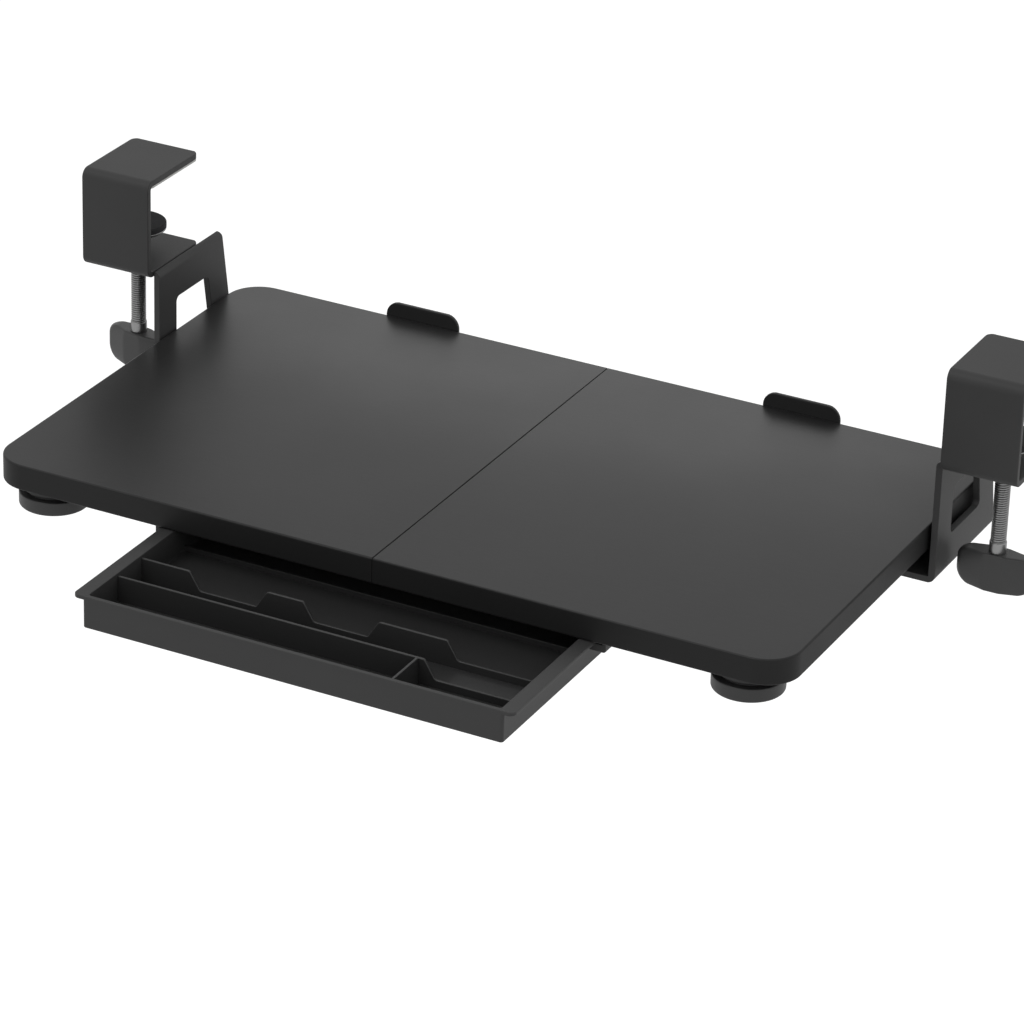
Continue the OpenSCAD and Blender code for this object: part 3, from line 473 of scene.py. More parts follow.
class Shells:
    """Collects closed shells and turns them into one object at the origin."""

    def __init__(self):
        self.points, self.faces, self.values, self.count = [], [], {}, 0

    def loft(self, rings, around=False, **values):
        """Rings as an array (ring, point, xyz): quads between neighbours, a face at each open end.

        Values are point attributes, one a ring or one a point, and 0 where a shell has none."""
        rows, width, _ = rings.shape
        here = self.count + np.arange(rows * width).reshape(rows, width)
        nxt = np.roll(here, -1, axis=1)
        quads = np.stack([here, nxt, np.roll(nxt, -1, axis=0), np.roll(here, -1, axis=0)], axis=-1)
        self.faces += quads[:rows if around else rows - 1].reshape(-1, 4).tolist()
        if not around:
            self.faces += [here[0][::-1].tolist(), here[-1].tolist()]
        for key, value in values.items():
            column = self.values.get(key, np.zeros(0))
            missing = np.zeros(self.count - len(column))
            spread = np.broadcast_to(np.reshape(value, (rows, -1)), (rows, width))
            self.values[key] = np.concatenate([column, missing, spread.ravel()])
        self.points.append(rings.reshape(-1, 3))
        self.count += rows * width
        return self

    def slab(self, corners, low, high, edge, axis="z", **values):
        """An outline from rows of (u, v, radius), run along an axis from low to high."""
        outline = arc_outline(corners)
        (u, v), (after_u, after_v) = outline.T, np.roll(outline, -1, axis=0).T
        outline = outline if np.sum(u * after_v - v * after_u) > 0 else outline[::-1]
        profile = edge_profile(low, high, edge)
        rings = [np.column_stack([inset(outline, d), np.full(len(outline), w)]) for w, d, _ in profile]
        values = {key: np.full(len(profile), value) for key, value in values.items()}
        return self.loft(np.array(rings)[:, :, AXES[axis]], wear=profile[:, 2], **values)

    def turned(self, corners, centre, steps=72):
        """A closed outline of (radius, height, corner radius) carried round the upright axis."""
        profile = arc_outline(corners, 5)
        radius, height = np.maximum(profile[:, :1], 0), profile[:, 1:]
        return self.loft(round_rings(centre, radius, height, steps), around=True)

    def piece(self, node, what, material, body, slot):
        """Merges the seams and poles, points every face outwards and places the object."""
        mesh = bpy.data.meshes.new(f"{node}_{what}")
        mesh.from_pydata(np.vstack(self.points).tolist(), [], self.faces)
        for key, column in self.values.items():
            full = np.concatenate([column, np.zeros(self.count - len(column))])
            mesh.attributes.new(key, "FLOAT", "POINT").data.foreach_set("value", full.astype(np.float32))
        clean_shells(mesh)
        place_piece(mesh, node, what, material, body)


def place_piece(mesh, node, what, material, body):
    """Puts a mesh at the origin in place of its CAD node and gives it a finish and a body."""
    made = bpy.data.objects.new(f"{node}_{what}", mesh)
    bpy.context.scene.collection.objects.link(made)
    mesh.materials.append(material)
    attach(made, body)
    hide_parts(node)
    print(f"{made.name}: {len(mesh.polygons)} faces on {body}")
    return made


def round_rings(centre, radius, height, steps):
    """Rings round an upright axis. Radius and height hold one value a ring or one a point."""
    angle = full_turn(steps)
    radius, height = np.broadcast_arrays(radius + 0 * angle, height + 0 * angle)
    x, y = centre[0] + radius * np.cos(angle), centre[1] + radius * np.sin(angle)
    return np.stack([x, y, centre[2] + height], axis=-1)


def full_turn(steps):
    """The angles of a ring's points."""
    return np.linspace(0, 2 * np.pi, steps, endpoint=False)


def clean_shells(mesh, merge=1e-6, crease=35.0):
    """Closes seams and poles, drops faces without area, and sets smooth faces with sharp creases."""
    work = bmesh.new()
    work.from_mesh(mesh)
    bmesh.ops.remove_doubles(work, verts=work.verts, dist=merge)
    bmesh.ops.dissolve_degenerate(work, edges=work.edges, dist=merge)
    flat = [face for face in work.faces if face.calc_area() < 1e-13]
    bmesh.ops.delete(work, geom=flat, context="FACES_ONLY")
    loose = [edge for edge in work.edges if not edge.link_faces]
    bmesh.ops.delete(work, geom=loose, context="EDGES")
    bmesh.ops.recalc_face_normals(work, faces=work.faces)
    work.to_mesh(mesh)
    work.free()
    mesh.shade_smooth()
    mesh.set_sharp_from_angle(angle=np.radians(crease))


def span(*nodes):
    """Lowest and highest corner of one or more CAD nodes."""
    boxes = np.array([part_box(node) for node in nodes])
    return boxes[:, 0].min(axis=0), boxes[:, 1].max(axis=0)


def axis_of(node):
    """Place (x, y) of the upright axis of a round CAD node."""
    return np.mean(span(node), axis=0)[:2]


SIDES = {"left": -1, "right": 1}
print("shell builder ready")

# %% [markdown]
# ## Board
# The board is two halves of laminated fibreboard. Its outline has large round corners, its
# rims are rounded a little, and two shallow pockets under the seam take the joining plates.
# Rings are worked out straight from the inset: a corner's centre stays and its radius shrinks.

# %% Board halves
BOARD_CORNER = 19 * MM
BOARD_EDGE = 0.9 * MM
SEAM_EDGE = 0.35 * MM
POCKET_PLAY = 0.2 * MM
board_low, board_high = span("board_left", "board_right")
PLATES = [span(f"joining_plate_{end}") for end in ("front", "rear")]


def board_ring(level, into, pockets, side):
    """Half the board's outline at a level: seam, back corner, front corner, seen as one loop."""
    angle = np.linspace(0, np.pi / 2, 15)
    radius = BOARD_CORNER - into
    right = board_high[0] - BOARD_CORNER
    front, back = board_low[1] + BOARD_CORNER, board_high[1] - BOARD_CORNER
    seam = abs(span("board_right")[0][0]) + into * SEAM_EDGE / BOARD_EDGE
    points = [(seam, board_low[1] + into)]
    points += list(zip(right + radius * np.sin(angle), front - radius * np.cos(angle)))
    points += list(zip(right + radius * np.cos(angle), back + radius * np.sin(angle)))
    points += [(seam, board_high[1] - into)]
    for lowest, highest in PLATES[::-1]:
        deep = highest[0] + POCKET_PLAY if pockets else seam
        y0, y1 = lowest[1] - POCKET_PLAY, highest[1] + POCKET_PLAY
        points += [(seam, y1), (deep, y1), (deep, y0), (seam, y0)]
    ring = np.array(points) * [side, 1]
    return np.column_stack([ring, np.full(len(ring), level)])


def board_half(name, side):
    """Rings from the underside up; above the pockets' ceilings the notches close."""
    profile = edge_profile(board_low[2], board_high[2], BOARD_EDGE, 4)
    half = len(profile) // 2
    ceiling = PLATES[0][1][2]
    middle = np.array([[ceiling, 0.0, 0.0], [ceiling, 0.0, 0.0]])
    rows = np.vstack([profile[:half], middle, profile[half:]])
    pockets = np.arange(len(rows)) <= half
    rings = np.array([board_ring(w, d, p, side) for (w, d, _), p in zip(rows, pockets)])
    # band marks the board's rims below the top's rounding, where the laminate paints shade
    band = np.where((rows[:, 0] < board_high[2] - 0.5 * BOARD_EDGE) & (rows[:, 1] < BOARD_EDGE), 1.0, 0.0)
    Shells().loft(rings, wear=rows[:, 2], band=band).piece(
        name, "panel", LAMINATE, "tray", "black_laminate")


for side, sign in SIDES.items():
    board_half(f"board_{side}", sign)

# %% [markdown]
# ## Folded plates
# Clamps and back stops are steel strip, cut flat and folded. Such a plate is a rounded
# rectangle, its cross-section, carried along a path: straight runs joined by arcs. Near an end
# the section narrows along a quarter circle, which gives the strip its round corners.

# %% Path and section of a folded strip
def fold_path(corners, radius, steps=10):
    """Points and outer normals along an open path of (y, z) corners with arcs at the bends."""
    corners = [np.array(c, float) for c in corners]
    points, normals = [], []

    def lay(point, heading):
        points.append(point)
        normals.append([heading[1], -heading[0]])

    runs = [(b - a) / np.linalg.norm(b - a) for a, b in zip(corners, corners[1:])]
    lay(corners[0], runs[0])
    for here, before, after in zip(corners[1:-1], runs, runs[1:]):
        start, end = here - before * radius, here + after * radius
        centre = start + after * radius
        lay(start - before * HOLD, before)
        for t in np.linspace(0, np.pi / 2, steps + 1):
            outward = -after * np.cos(t) + before * np.sin(t)
            heading = before * np.cos(t) + after * np.sin(t)
            lay(centre + outward * radius, heading)
        lay(end + after * HOLD, after)
    lay(corners[-1], runs[-1])
    return np.array(points), np.array(normals)


def strip_section(half_width, thick, edge, into, steps=3):
    """Rounded rectangle as (across, depth): depth 0 is the outer face, -thick the inner one."""
    radius = max(edge - into, 0.02 * MM)
    lowest, highest = (-half_width + into, -thick + into), (half_width - into, -into)
    return arc_outline(box_corners(lowest, highest, radius), steps)


def strip_rings(path, normals, centre_x, half_width, thick, edge, start_corner, end_corner):
    """Sections along the path, narrowed towards both ends by the corner radii there."""
    steps = np.linalg.norm(np.diff(path, axis=0), axis=1)
    along = np.concatenate([[0], np.cumsum(steps)])
    length = along[-1]
    quarter = 1 - np.cos(np.linspace(0, np.pi / 2, 9))
    near = np.unique(np.concatenate([edge * quarter[:5], start_corner * quarter, [start_corner + HOLD]]))
    far = length - np.unique(np.concatenate([edge * quarter[:5], end_corner * quarter, [end_corner + HOLD]]))
    places = np.unique(np.round(np.concatenate([near, far, along]), 9))
    rings, wear = [], []
    for s in places:
        point = np.array([np.interp(s, along, path[:, k]) for k in range(2)])
        normal = np.array([np.interp(s, along, normals[:, k]) for k in range(2)])
        normal /= np.linalg.norm(normal)
        ends = ((s, start_corner), (length - s, end_corner))
        narrow = sum(r - np.sqrt(max(r * r - max(r - d, 0) ** 2, 0)) for d, r in ends)
        into = sum(edge - np.sqrt(max(edge * edge - max(edge - d, 0) ** 2, 0)) for d, _ in ends)
        section = strip_section(half_width - narrow, thick, edge, into)
        spot = point + section[:, 1:2] * normal
        rings.append(np.column_stack([centre_x + section[:, 0], spot]))
        wear.append(1.0 if min(s, length - s) < edge else 0.0)
    return np.array(rings), np.array(wear)


print("a clamp's path has", len(fold_path([(1, 1), (0, 1), (0, 0), (1, 0)], 0.1)[0]), "stations")

# %% Clamps and their pads
CLAMP_T = 3.3 * MM
FOLD_R = 5 * MM
JAW_CORNER = 4 * MM
PAD_CORNER = 2 * MM
PLATE_EDGE = 0.45 * MM


def clamp(side):
    """The path runs from the upper jaw's rear end forwards, down the front plate and back."""
    node = f"clamp_{side}"
    lo, hi = span(node)
    corners = [(hi[1], hi[2]), (lo[1], hi[2]), (lo[1], lo[2]), (hi[1], lo[2])]
    path, normals = fold_path(corners, FOLD_R)
    rings, wear = strip_rings(path, normals, (lo[0] + hi[0]) / 2, (hi[0] - lo[0]) / 2,
                              CLAMP_T, PLATE_EDGE, JAW_CORNER, JAW_CORNER)
    Shells().loft(rings, wear=wear).piece(node, "plate", COAT, "root", "coated_steel")


def top_pad(side):
    """A thin rounded rectangle as large as its CAD node."""
    node = f"top_pad_{side}"
    lo, hi = span(node)
    corners = box_corners(lo[:2], hi[:2], PAD_CORNER)
    Shells().slab(corners, lo[2], hi[2], 0.3 * MM).piece(node, "foam", PALE_PAD, "root", "pale_pad")


for side in SIDES:
    clamp(side)
    top_pad(side)

# %% Back stops
STOP_T, STOP_EDGE = 2 * MM, 0.5 * MM
STOP_TOP_CORNER, STOP_FOOT_CORNER = 7.5 * MM, 3 * MM


def back_stop(side):
    """The path runs from the upright plate's top down, round the fold and forwards."""
    node = f"back_stop_{side}"
    lo, hi = span(node)
    path, normals = fold_path([(hi[1], hi[2]), (hi[1], lo[2]), (lo[1], lo[2])], STOP_T)
    rings, wear = strip_rings(path, -normals, (lo[0] + hi[0]) / 2, (hi[0] - lo[0]) / 2,
                              STOP_T, STOP_EDGE, STOP_TOP_CORNER, STOP_FOOT_CORNER)
    Shells().loft(rings, wear=wear).piece(node, "plate", STOP_COAT_AND_SHADE, "tray", "coated_steel")


for side in SIDES:
    back_stop(side)

# %% [markdown]
# ## Brackets
# A bracket is a plate with a slanted rear edge, a window and a shelf folded inwards. Its CAD
# solid already has the right fold and holes, so the visible piece is a copy of it whose loose
# triangles are merged, joined into flat faces again and given small rounded edges.
# A weld bead fills the corner between the lower jaw and the bracket. Across it, its face is the
# straight line between its two legs plus a swell in the form of half a sine wave. Along it, the
# swell rises and falls with the ripples, and the legs shrink at both ends.

# %% Copies with rounded edges
def merged(node):
    """A CAD node's mesh for editing, its loose triangles merged."""
    work = bmesh.new()
    work.from_mesh(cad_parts[node].data)
    bmesh.ops.remove_doubles(work, verts=work.verts, dist=2e-6)
    return work


def edged_copy(node, what, material, body, width):
    """Joins the node's triangles where they lie flat, and bevels every crease."""
    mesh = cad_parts[node].data.copy()
    mesh.materials.clear()
    work = merged(node)
    bmesh.ops.dissolve_limit(work, angle_limit=np.radians(1.0), verts=work.verts, edges=work.edges)
    work.to_mesh(mesh)
    work.free()
    mesh.shade_smooth()
    mesh.set_sharp_from_angle(angle=np.radians(35))
    made = place_piece(mesh, node, what, material, body)
    bevel = made.modifiers.new("edge_rounding", "BEVEL")
    bevel.width = width
    bevel.segments = 2
    bevel.limit_method = "ANGLE"
    bevel.angle_limit = np.radians(40)
    bevel.harden_normals = True


for side in SIDES:
    edged_copy(f"bracket_{side}", "plate", COAT, "root", 0.35 * MM)

# %% Weld beads under the lower jaws
def islands(node):
    """Boxes of the separate solids of a grouped node, in the order of their centres."""
    work = merged(node)
    left, groups = set(work.verts), []
    while left:
        queue, group = [left.pop()], []
        while queue:
            vert = queue.pop()
            group.append(vert.co.copy())
            fresh = [e.other_vert(vert) for e in vert.link_edges if e.other_vert(vert) in left]
            left.difference_update(fresh)
            queue += fresh
        groups.append(np.array(group))
    work.free()
    groups.sort(key=lambda g: tuple(np.round(g.mean(axis=0), 4)))
    return [(g.min(axis=0), g.max(axis=0)) for g in groups]


BEAD_SWELL, RIPPLE_SWELL, RIPPLE_L = 0.28 * MM, 0.13 * MM, 1.3 * MM
BEAD_TAPER = 2.2 * MM


def bead(shells, lo, hi, points=13, step=0.16 * MM):
    """Rings along a bead: the corner point, then the swelling face from the jaw to the bracket."""
    sign = np.sign(hi[0])
    corner_x = min(lo[0], hi[0], key=abs)
    y = np.arange(lo[1], hi[1], step)[:, None]
    share = np.linspace(0, 1, points)
    bow = np.sin(np.pi * share)
    leg = np.sqrt(np.clip(np.minimum(y - lo[1], hi[1] - y) / BEAD_TAPER, 0.16, 1))
    ripple = np.cos(2 * np.pi * y / RIPPLE_L - 1.4 * bow)
    swell = bow * (BEAD_SWELL + RIPPLE_SWELL * ripple)
    out = leg * ((hi[0] - lo[0]) * (1 - share) + swell)
    down = leg * ((hi[2] - lo[2]) * share + swell)
    out, down = (np.hstack([0 * y, values]) for values in (out, down))
    rings = np.stack([corner_x + sign * out, y + 0 * out, hi[2] - down], axis=-1)
    shells.loft(rings)


welds = Shells()
for lo, hi in islands("bracket_welds"):
    bead(welds, lo, hi)
welds.piece("bracket_welds", "beads", COAT, "root", "coated_steel")

# %% [markdown]
# ## Screws and nuts
# A screw head is a grid in polar form: its height is a dome minus a recess, and the recess is
# a cross, deep inside and rising softly at its walls. A nut is a hexagon whose corners are cut
# by a cone: at each angle the radius is the smaller of the two.

# %% Heads with a driver recess
CROSS_ARM, CROSS_WIDTH = 2.1 * MM, 0.55 * MM
RECESS_SHARE = 0.62


def cross_depth(x, y):
    """1 inside a cross with four arms, counted from its middle, and 0 outside, with soft walls."""
    across = np.minimum(np.abs(x), np.abs(y))
    along = np.maximum(np.abs(x), np.abs(y))
    inside = np.clip((CROSS_WIDTH - across) / (0.35 * CROSS_WIDTH), 0, 1)
    return inside * np.clip((CROSS_ARM - along) / (0.3 * CROSS_ARM), 0, 1)


def head(shells, centre, radius, thick, dome, rows=16, steps=48):
    """A head that faces down: drop = thick * (1 - dome * share of the radius ^ 3 - recess)."""
    share = np.sin(np.linspace(0, np.pi / 2, rows))[:, None]
    angle = full_turn(steps)
    recess = cross_depth(radius * share * np.cos(angle), radius * share * np.sin(angle))
    drop = thick * (1 - dome * share ** 3 - RECESS_SHARE * recess)
    out = radius * np.vstack([share, share[-1:]])
    back = np.zeros((1, steps))
    rings = round_rings(centre, out, np.vstack([-drop, back]), steps)
    shells.loft(rings, hollow=np.vstack([recess, back]))


def shank(shells, x, y, lower, upper, radius):
    """A plain round shank."""
    shells.loft(round_rings((x, y, 0), radius, np.array([[lower], [upper]]), 20))


print("solids in runner_screws:", len(islands("runner_screws")))

# %% Wood screws and glide screws
WOOD_R = 1.75 * MM
PAN_T, PAN_DOME = 2.2 * MM, 0.45
SUNK_T = 1.5 * MM
PROUD = 0.03 * MM


def down_screws(node, thick, body, dome):
    """Screws that are driven upwards: their heads face down, and a flat one stands out a little."""
    shells = Shells()
    proud = 0 if dome else PROUD
    for lo, hi in islands(node):
        x, y = (lo[:2] + hi[:2]) / 2
        head(shells, (x, y, lo[2] + thick), (hi[0] - lo[0]) / 2, thick + proud, dome)
        shank(shells, x, y, lo[2] + 0.5 * thick, hi[2], WOOD_R)
    shells.piece(node, "cross_head", BLACKENED, body, "blackened_fasteners")


for node, thick, body, dome in (
        ("joining_screws", SUNK_T, "tray", 0.0), ("rail_screws", SUNK_T, "tray", 0.0),
        ("runner_screws", PAN_T, "tray", PAN_DOME), ("back_stop_screws", PAN_T, "tray", PAN_DOME),
        ("foot_screws", PAN_T, "tray", PAN_DOME), ("glide_screws", PAN_T, "root", PAN_DOME)):
    down_screws(node, thick, body, dome)

# %% Nuts
NUT_BORE_R = 4.02 * MM


def weld_nut(side, steps=72):
    """Rings up the outside, across the top, down the bore and back, joined into a ring body."""
    node = f"clamp_nut_{side}"
    lo, hi = span(node)
    half_flats, tall = (hi[0] - lo[0]) / 2, hi[2] - lo[2]
    apart = (full_turn(steps) + np.pi / 6) % (np.pi / 3) - np.pi / 6
    levels = np.array([0, 0.04, 0.10, 0.16, 0.84, 0.90, 0.96, 1.0])[:, None]
    cone = 1.02 * half_flats + 1.5 * tall * np.minimum(levels, 1 - levels)
    outer = np.minimum(half_flats / np.cos(apart), cone)
    radius = np.vstack([outer, np.full((2, steps), NUT_BORE_R)])
    height = tall * np.vstack([levels, [[1.0], [0.0]]])
    rings = round_rings((*axis_of(node), lo[2]), radius, height, steps)
    Shells().loft(rings, around=True).piece(node, "weld_nut", ZINC, "root", "zinc_steel")


for side in SIDES:
    weld_nut(side)

# %% [markdown]
# ## Clamp screws
# The thread is one surface in two parameters, angle and height: the radius falls from the
# crest by a triangle wave of height over pitch minus the share of a turn, so the ridge climbs
# one pitch each turn. The wave's value is also the `hollow` attribute that darkens the roots.

# %% Threaded rod with its collar
PITCH_OF_THREAD = 1.25 * MM
ROD_R = 4 * MM
THREAD_DEPTH = 0.45 * MM
COLLAR_R, COLLAR_H, COLLAR_GAP = 4.4 * MM, 6 * MM, 0.02 * MM
CORE_R, CORE_L = 3.9 * MM, 12 * MM
NECK_R = 2.5 * MM
RIVET_R, RIVET_T = 4.2 * MM, 1.2 * MM
SHOULDER_GAP = 0.15 * MM
OVERLAP = 1 * MM


def thread_rings(place, lower, upper, steps=40, per_turn=10):
    """radius = rod - depth * wave(z / pitch - angle / turn), run out flat over the last turn."""
    rows = int((upper - lower) / PITCH_OF_THREAD * per_turn)
    z = np.linspace(lower, upper, rows)[:, None]
    phase = (z / PITCH_OF_THREAD - full_turn(steps) / (2 * np.pi)) % 1.0
    wave = np.clip(np.abs(2 * phase - 1) * 2.0 - 0.9, 0, 1)
    fade = np.clip((z - lower) / PITCH_OF_THREAD, 0, 1) * np.clip((upper - z) / PITCH_OF_THREAD, 0, 1)
    radius = ROD_R - THREAD_DEPTH * (wave * fade + 0.7 * (1 - fade))
    return round_rings(place, radius, z, steps), wave * fade


def clamp_screw(side):
    """The thread, a collar with a core in the knob below it, and a neck riveted over the cup."""
    node = f"clamp_screw_{side}"
    place, top = (*axis_of(node), 0), span(node)[1][2]
    knob_top = span(f"knob_{side}")[1][2]
    core_low, collar_low, collar_top = knob_top - CORE_L, knob_top + COLLAR_GAP, knob_top + COLLAR_H
    shoulder = span(f"pressure_cup_{side}")[0][2] - SHOULDER_GAP
    neck_low, rivet_low = shoulder - OVERLAP, top - RIVET_T
    shells = Shells()
    rings, hollow = thread_rings(place, collar_top - OVERLAP, shoulder)
    shells.loft(rings, hollow=hollow)
    shells.turned([(0, core_low, 0), (CORE_R, core_low, 0.3 * MM), (CORE_R, collar_low, 0),
                   (COLLAR_R, collar_low, 0.25 * MM), (COLLAR_R, collar_top, 0.6 * MM),
                   (0, collar_top, 0)], place, 56)
    shells.turned([(0, neck_low, 0), (NECK_R, neck_low, 0), (NECK_R, rivet_low, 0),
                   (RIVET_R, rivet_low, 0.2 * MM), (RIVET_R, top, 0.5 * MM), (0, top, 0)], place, 48)
    shells.piece(node, "thread", ZINC, f"screw_{side}", "zinc_steel")


for side in SIDES:
    clamp_screw(side)

# %% Pressure discs
CUP_HOLE_R, CUP_FLARE, CUP_FLARE_SHARE = 2.56 * MM, 2.2 * MM, 0.7
RIVET_ROOM_R, RIVET_ROOM_H = 4.4 * MM, 1.6 * MM


def pressure_disc(side):
    """A dished steel cup with a rolled rim, and a rubber pad with a rounded edge in it."""
    node = f"pressure_cup_{side}"
    lo, hi = span(node)
    place, radius, tall = axis_of(node), (hi[0] - lo[0]) / 2, hi[2] - lo[2]
    section = [(CUP_HOLE_R, 0, 0), (radius - CUP_FLARE, 0, 0.8 * MM),
               (radius, CUP_FLARE_SHARE * tall, 0.5 * MM), (radius, tall, 0.3 * MM), (CUP_HOLE_R, tall, 0)]
    Shells().turned(section, (*place, lo[2])).piece(node, "steel", ZINC, f"disc_{side}", "zinc_steel")
    node = f"pressure_pad_{side}"
    lo, hi = span(node)
    tall = hi[2] - lo[2]
    section = [(0, RIVET_ROOM_H, 0), (RIVET_ROOM_R, RIVET_ROOM_H, 0), (RIVET_ROOM_R, 0, 0),
               (radius, 0, 0.2 * MM), (radius, tall, 0.8 * MM), (0, tall, 0)]
    Shells().turned(section, (*place, lo[2])).piece(node, "rubber", RUBBER, f"disc_{side}", "disc_rubber")


for side in SIDES:
    pressure_disc(side)

# %% [markdown]
# ## Wing knobs
# Seen from above the knob is a short hub with straight sides that taper into two wings with
# round tips: the half thickness at each place is a straight line between the hub's and the
# tip's. Seen from the side its upper corners are round and its lower ones rounder, so each
# level scales the outline along the wings.

# %% Wing knobs
KNOB_L = 41.5 * MM
HUB_HALF_L, HUB_HALF_T, TIP_HALF_T = 6 * MM, 6 * MM, 3 * MM
UPPER_CORNER, LOWER_CORNER = 6.5 * MM, 8.2 * MM
KNOB_EDGE, EDGE_SOFTENING = 0.9 * MM, 0.6 * MM
END_FACE_SHARE = 0.985
KNOB_TURNS = {"left": np.radians(-13), "right": 0.0}


def half_thickness(x):
    """Hub, then a straight taper to the tip; the last stretch closes along a quarter circle."""
    share = np.clip((np.abs(x) - HUB_HALF_L) / (KNOB_L / 2 - HUB_HALF_L), 0, 1)
    body = HUB_HALF_T + (TIP_HALF_T - HUB_HALF_T) * share
    tip = np.clip((np.abs(x) - (KNOB_L / 2 - TIP_HALF_T)) / TIP_HALF_T, 0, 1)
    return body * np.sqrt(1 - tip ** 2)


def round_off(level, limit, radius):
    """How far a quarter circle of the radius draws in near a limit that the level approaches."""
    over = np.clip((level - (limit - radius)) / radius, 0, 1)
    return radius * (1 - np.sqrt(1 - over ** 2))


def knob(side):
    """Levels from the bottom up; each scales the outline's length and draws its faces in."""
    node = f"knob_{side}"
    lo, hi = span(node)
    half, middle = (hi[2] - lo[2]) / 2, (lo[2] + hi[2]) / 2
    angle = full_turn(144)
    x0 = KNOB_L / 2 * np.cos(angle)
    y0 = np.sign(np.sin(angle)) * half_thickness(x0)
    share = np.sin(np.linspace(0, np.pi / 2, 10))
    upper, lower = half - UPPER_CORNER * (1 - share), -half + LOWER_CORNER * (1 - share)
    rims = half - KNOB_EDGE * (1 - share[::3])
    levels = np.unique(np.round(np.concatenate([upper, lower, rims, -rims]), 7))
    into = round_off(levels, half, UPPER_CORNER) + round_off(-levels, half, LOWER_CORNER)
    drawn = round_off(np.abs(levels), half, KNOB_EDGE)
    rings = []
    for z, cut, lip in zip(levels, into, drawn):
        x = x0 * (KNOB_L / 2 - cut - 0.5 * lip) / (KNOB_L / 2)
        y = y0 - y0 * lip / (np.abs(y0) + EDGE_SOFTENING)
        rings.append(np.column_stack([x, y, np.full(len(x), middle + z)]))
    closing = [END_FACE_SHARE, END_FACE_SHARE, 1]
    rings = np.array([rings[0] * closing, *rings, rings[-1] * closing])
    wear = np.concatenate([[0], np.where((drawn > 0) & (drawn < KNOB_EDGE), 0.5, 0.0), [0]])
    turn = KNOB_TURNS[side]
    spin = np.array([[np.cos(turn), np.sin(turn)], [-np.sin(turn), np.cos(turn)]])
    rings[:, :, :2] = rings[:, :, :2] @ spin + axis_of(f"clamp_screw_{side}")
    Shells().loft(rings, wear=wear).piece(node, "wing", KNOB_PLASTIC, f"screw_{side}", "knob_plastic")


for side in SIDES:
    knob(side)

# %% [markdown]
# ## Feet
# A foot is a turned plastic puck: a narrower flange against the board, a groove, and a wide
# body with a nearly sharp lower rim and a sunk bore that hides the screw's head.

# %% Feet
FLANGE_R, FLANGE_T = 15.7 * MM, 3.3 * MM
GROOVE_H, GROOVE_DEPTH = 1.5 * MM, 1.8 * MM
FOOT_HOLE_R, BORE_R, BORE_H = 1.8 * MM, 5 * MM, 3.4 * MM


def foot(side):
    """The section runs down the screw hole and the bore, out and up the body to the flange."""
    node = f"foot_{side}"
    lo, hi = span(node)
    r, tall = (hi[0] - lo[0]) / 2, hi[2] - lo[2]
    neck_r, ceiling, shoulder = FLANGE_R - GROOVE_DEPTH, tall - FLANGE_T, tall - FLANGE_T - GROOVE_H
    section = [(FOOT_HOLE_R, tall, 0), (FOOT_HOLE_R, BORE_H, 0), (BORE_R, BORE_H, 0.3 * MM),
               (BORE_R, 0, 0.5 * MM), (r, 0, 1.1 * MM), (r, shoulder, 0.6 * MM), (neck_r, shoulder, 0.3 * MM),
               (neck_r, ceiling, 0.3 * MM), (FLANGE_R, ceiling, 0.5 * MM), (FLANGE_R, tall, 0.5 * MM)]
    shells = Shells().turned(section, (*axis_of(node), lo[2]), 96)
    shells.piece(node, "puck", FOOT_PLASTIC, "tray", "foot_plastic")


for side in SIDES:
    foot(side)

# %% [markdown]
# ## Rails, glides and runners
# These are long pieces with one section: folded channel for the rails, nylon for the glides
# and their end stops, and moulded plastic for the drawer's runners.

# %% Rails, glides and end stops
RAIL_T = 1.5 * MM
SLOT_HALF = 10 * MM
PLAY = 0.3 * MM
STOP_GAP = 0.02 * MM


def mirrored_slab(mid, right_half, lo, hi, edge):
    """A slab along Y whose section is given by its right half, counted from mid."""
    section = right_half + [(-u, v, r) for u, v, r in right_half[::-1]]
    return Shells().slab([(mid + u, v, r) for u, v, r in section], lo[1], hi[1], edge, "y")


def rail_set(side):
    """The rail is a channel with a slot below; glide and end stop stand in the slot."""
    node = f"rail_{side}"
    lo, hi = span(node)
    mid, half = (lo[0] + hi[0]) / 2, (hi[0] - lo[0]) / 2
    z0, z1, t, ledge = lo[2], hi[2], RAIL_T, lo[2] + RAIL_T
    section = [(half - t, z1 - t, 0.2 * MM), (half - t, ledge, 0.2 * MM), (SLOT_HALF, ledge, 0.3 * MM),
               (SLOT_HALF, z0, 0.3 * MM), (half, z0, t), (half, z1, t)]
    mirrored_slab(mid, section, lo, hi, 0.25 * MM).piece(node, "channel", RAIL_COAT, "tray", "rail_steel")
    node = f"glide_{side}"
    lo, hi = span(node)
    neck, wide, under = SLOT_HALF - PLAY, (hi[0] - lo[0]) / 2, ledge + PLAY
    section = [(neck, lo[2], 0.4 * MM), (neck, under, 0.3 * MM), (wide, under, MM), (wide, hi[2], MM)]
    mirrored_slab(mid, section, lo, hi, 0.8 * MM).piece(node, "block", NYLON, "root", "nylon")
    node = f"rail_stop_{side}"
    lo, hi = span(node)
    neck, wide = SLOT_HALF - STOP_GAP, (hi[0] - lo[0]) / 2 - STOP_GAP
    under, over = ledge + STOP_GAP, hi[2] - STOP_GAP
    section = [(neck, lo[2], 0), (neck, under, 0), (wide, under, 0.3 * MM), (wide, over, 0.3 * MM)]
    mirrored_slab(mid, section, lo, hi, 0.3 * MM).piece(node, "plug", NYLON, "tray", "nylon")


for side in SIDES:
    rail_set(side)

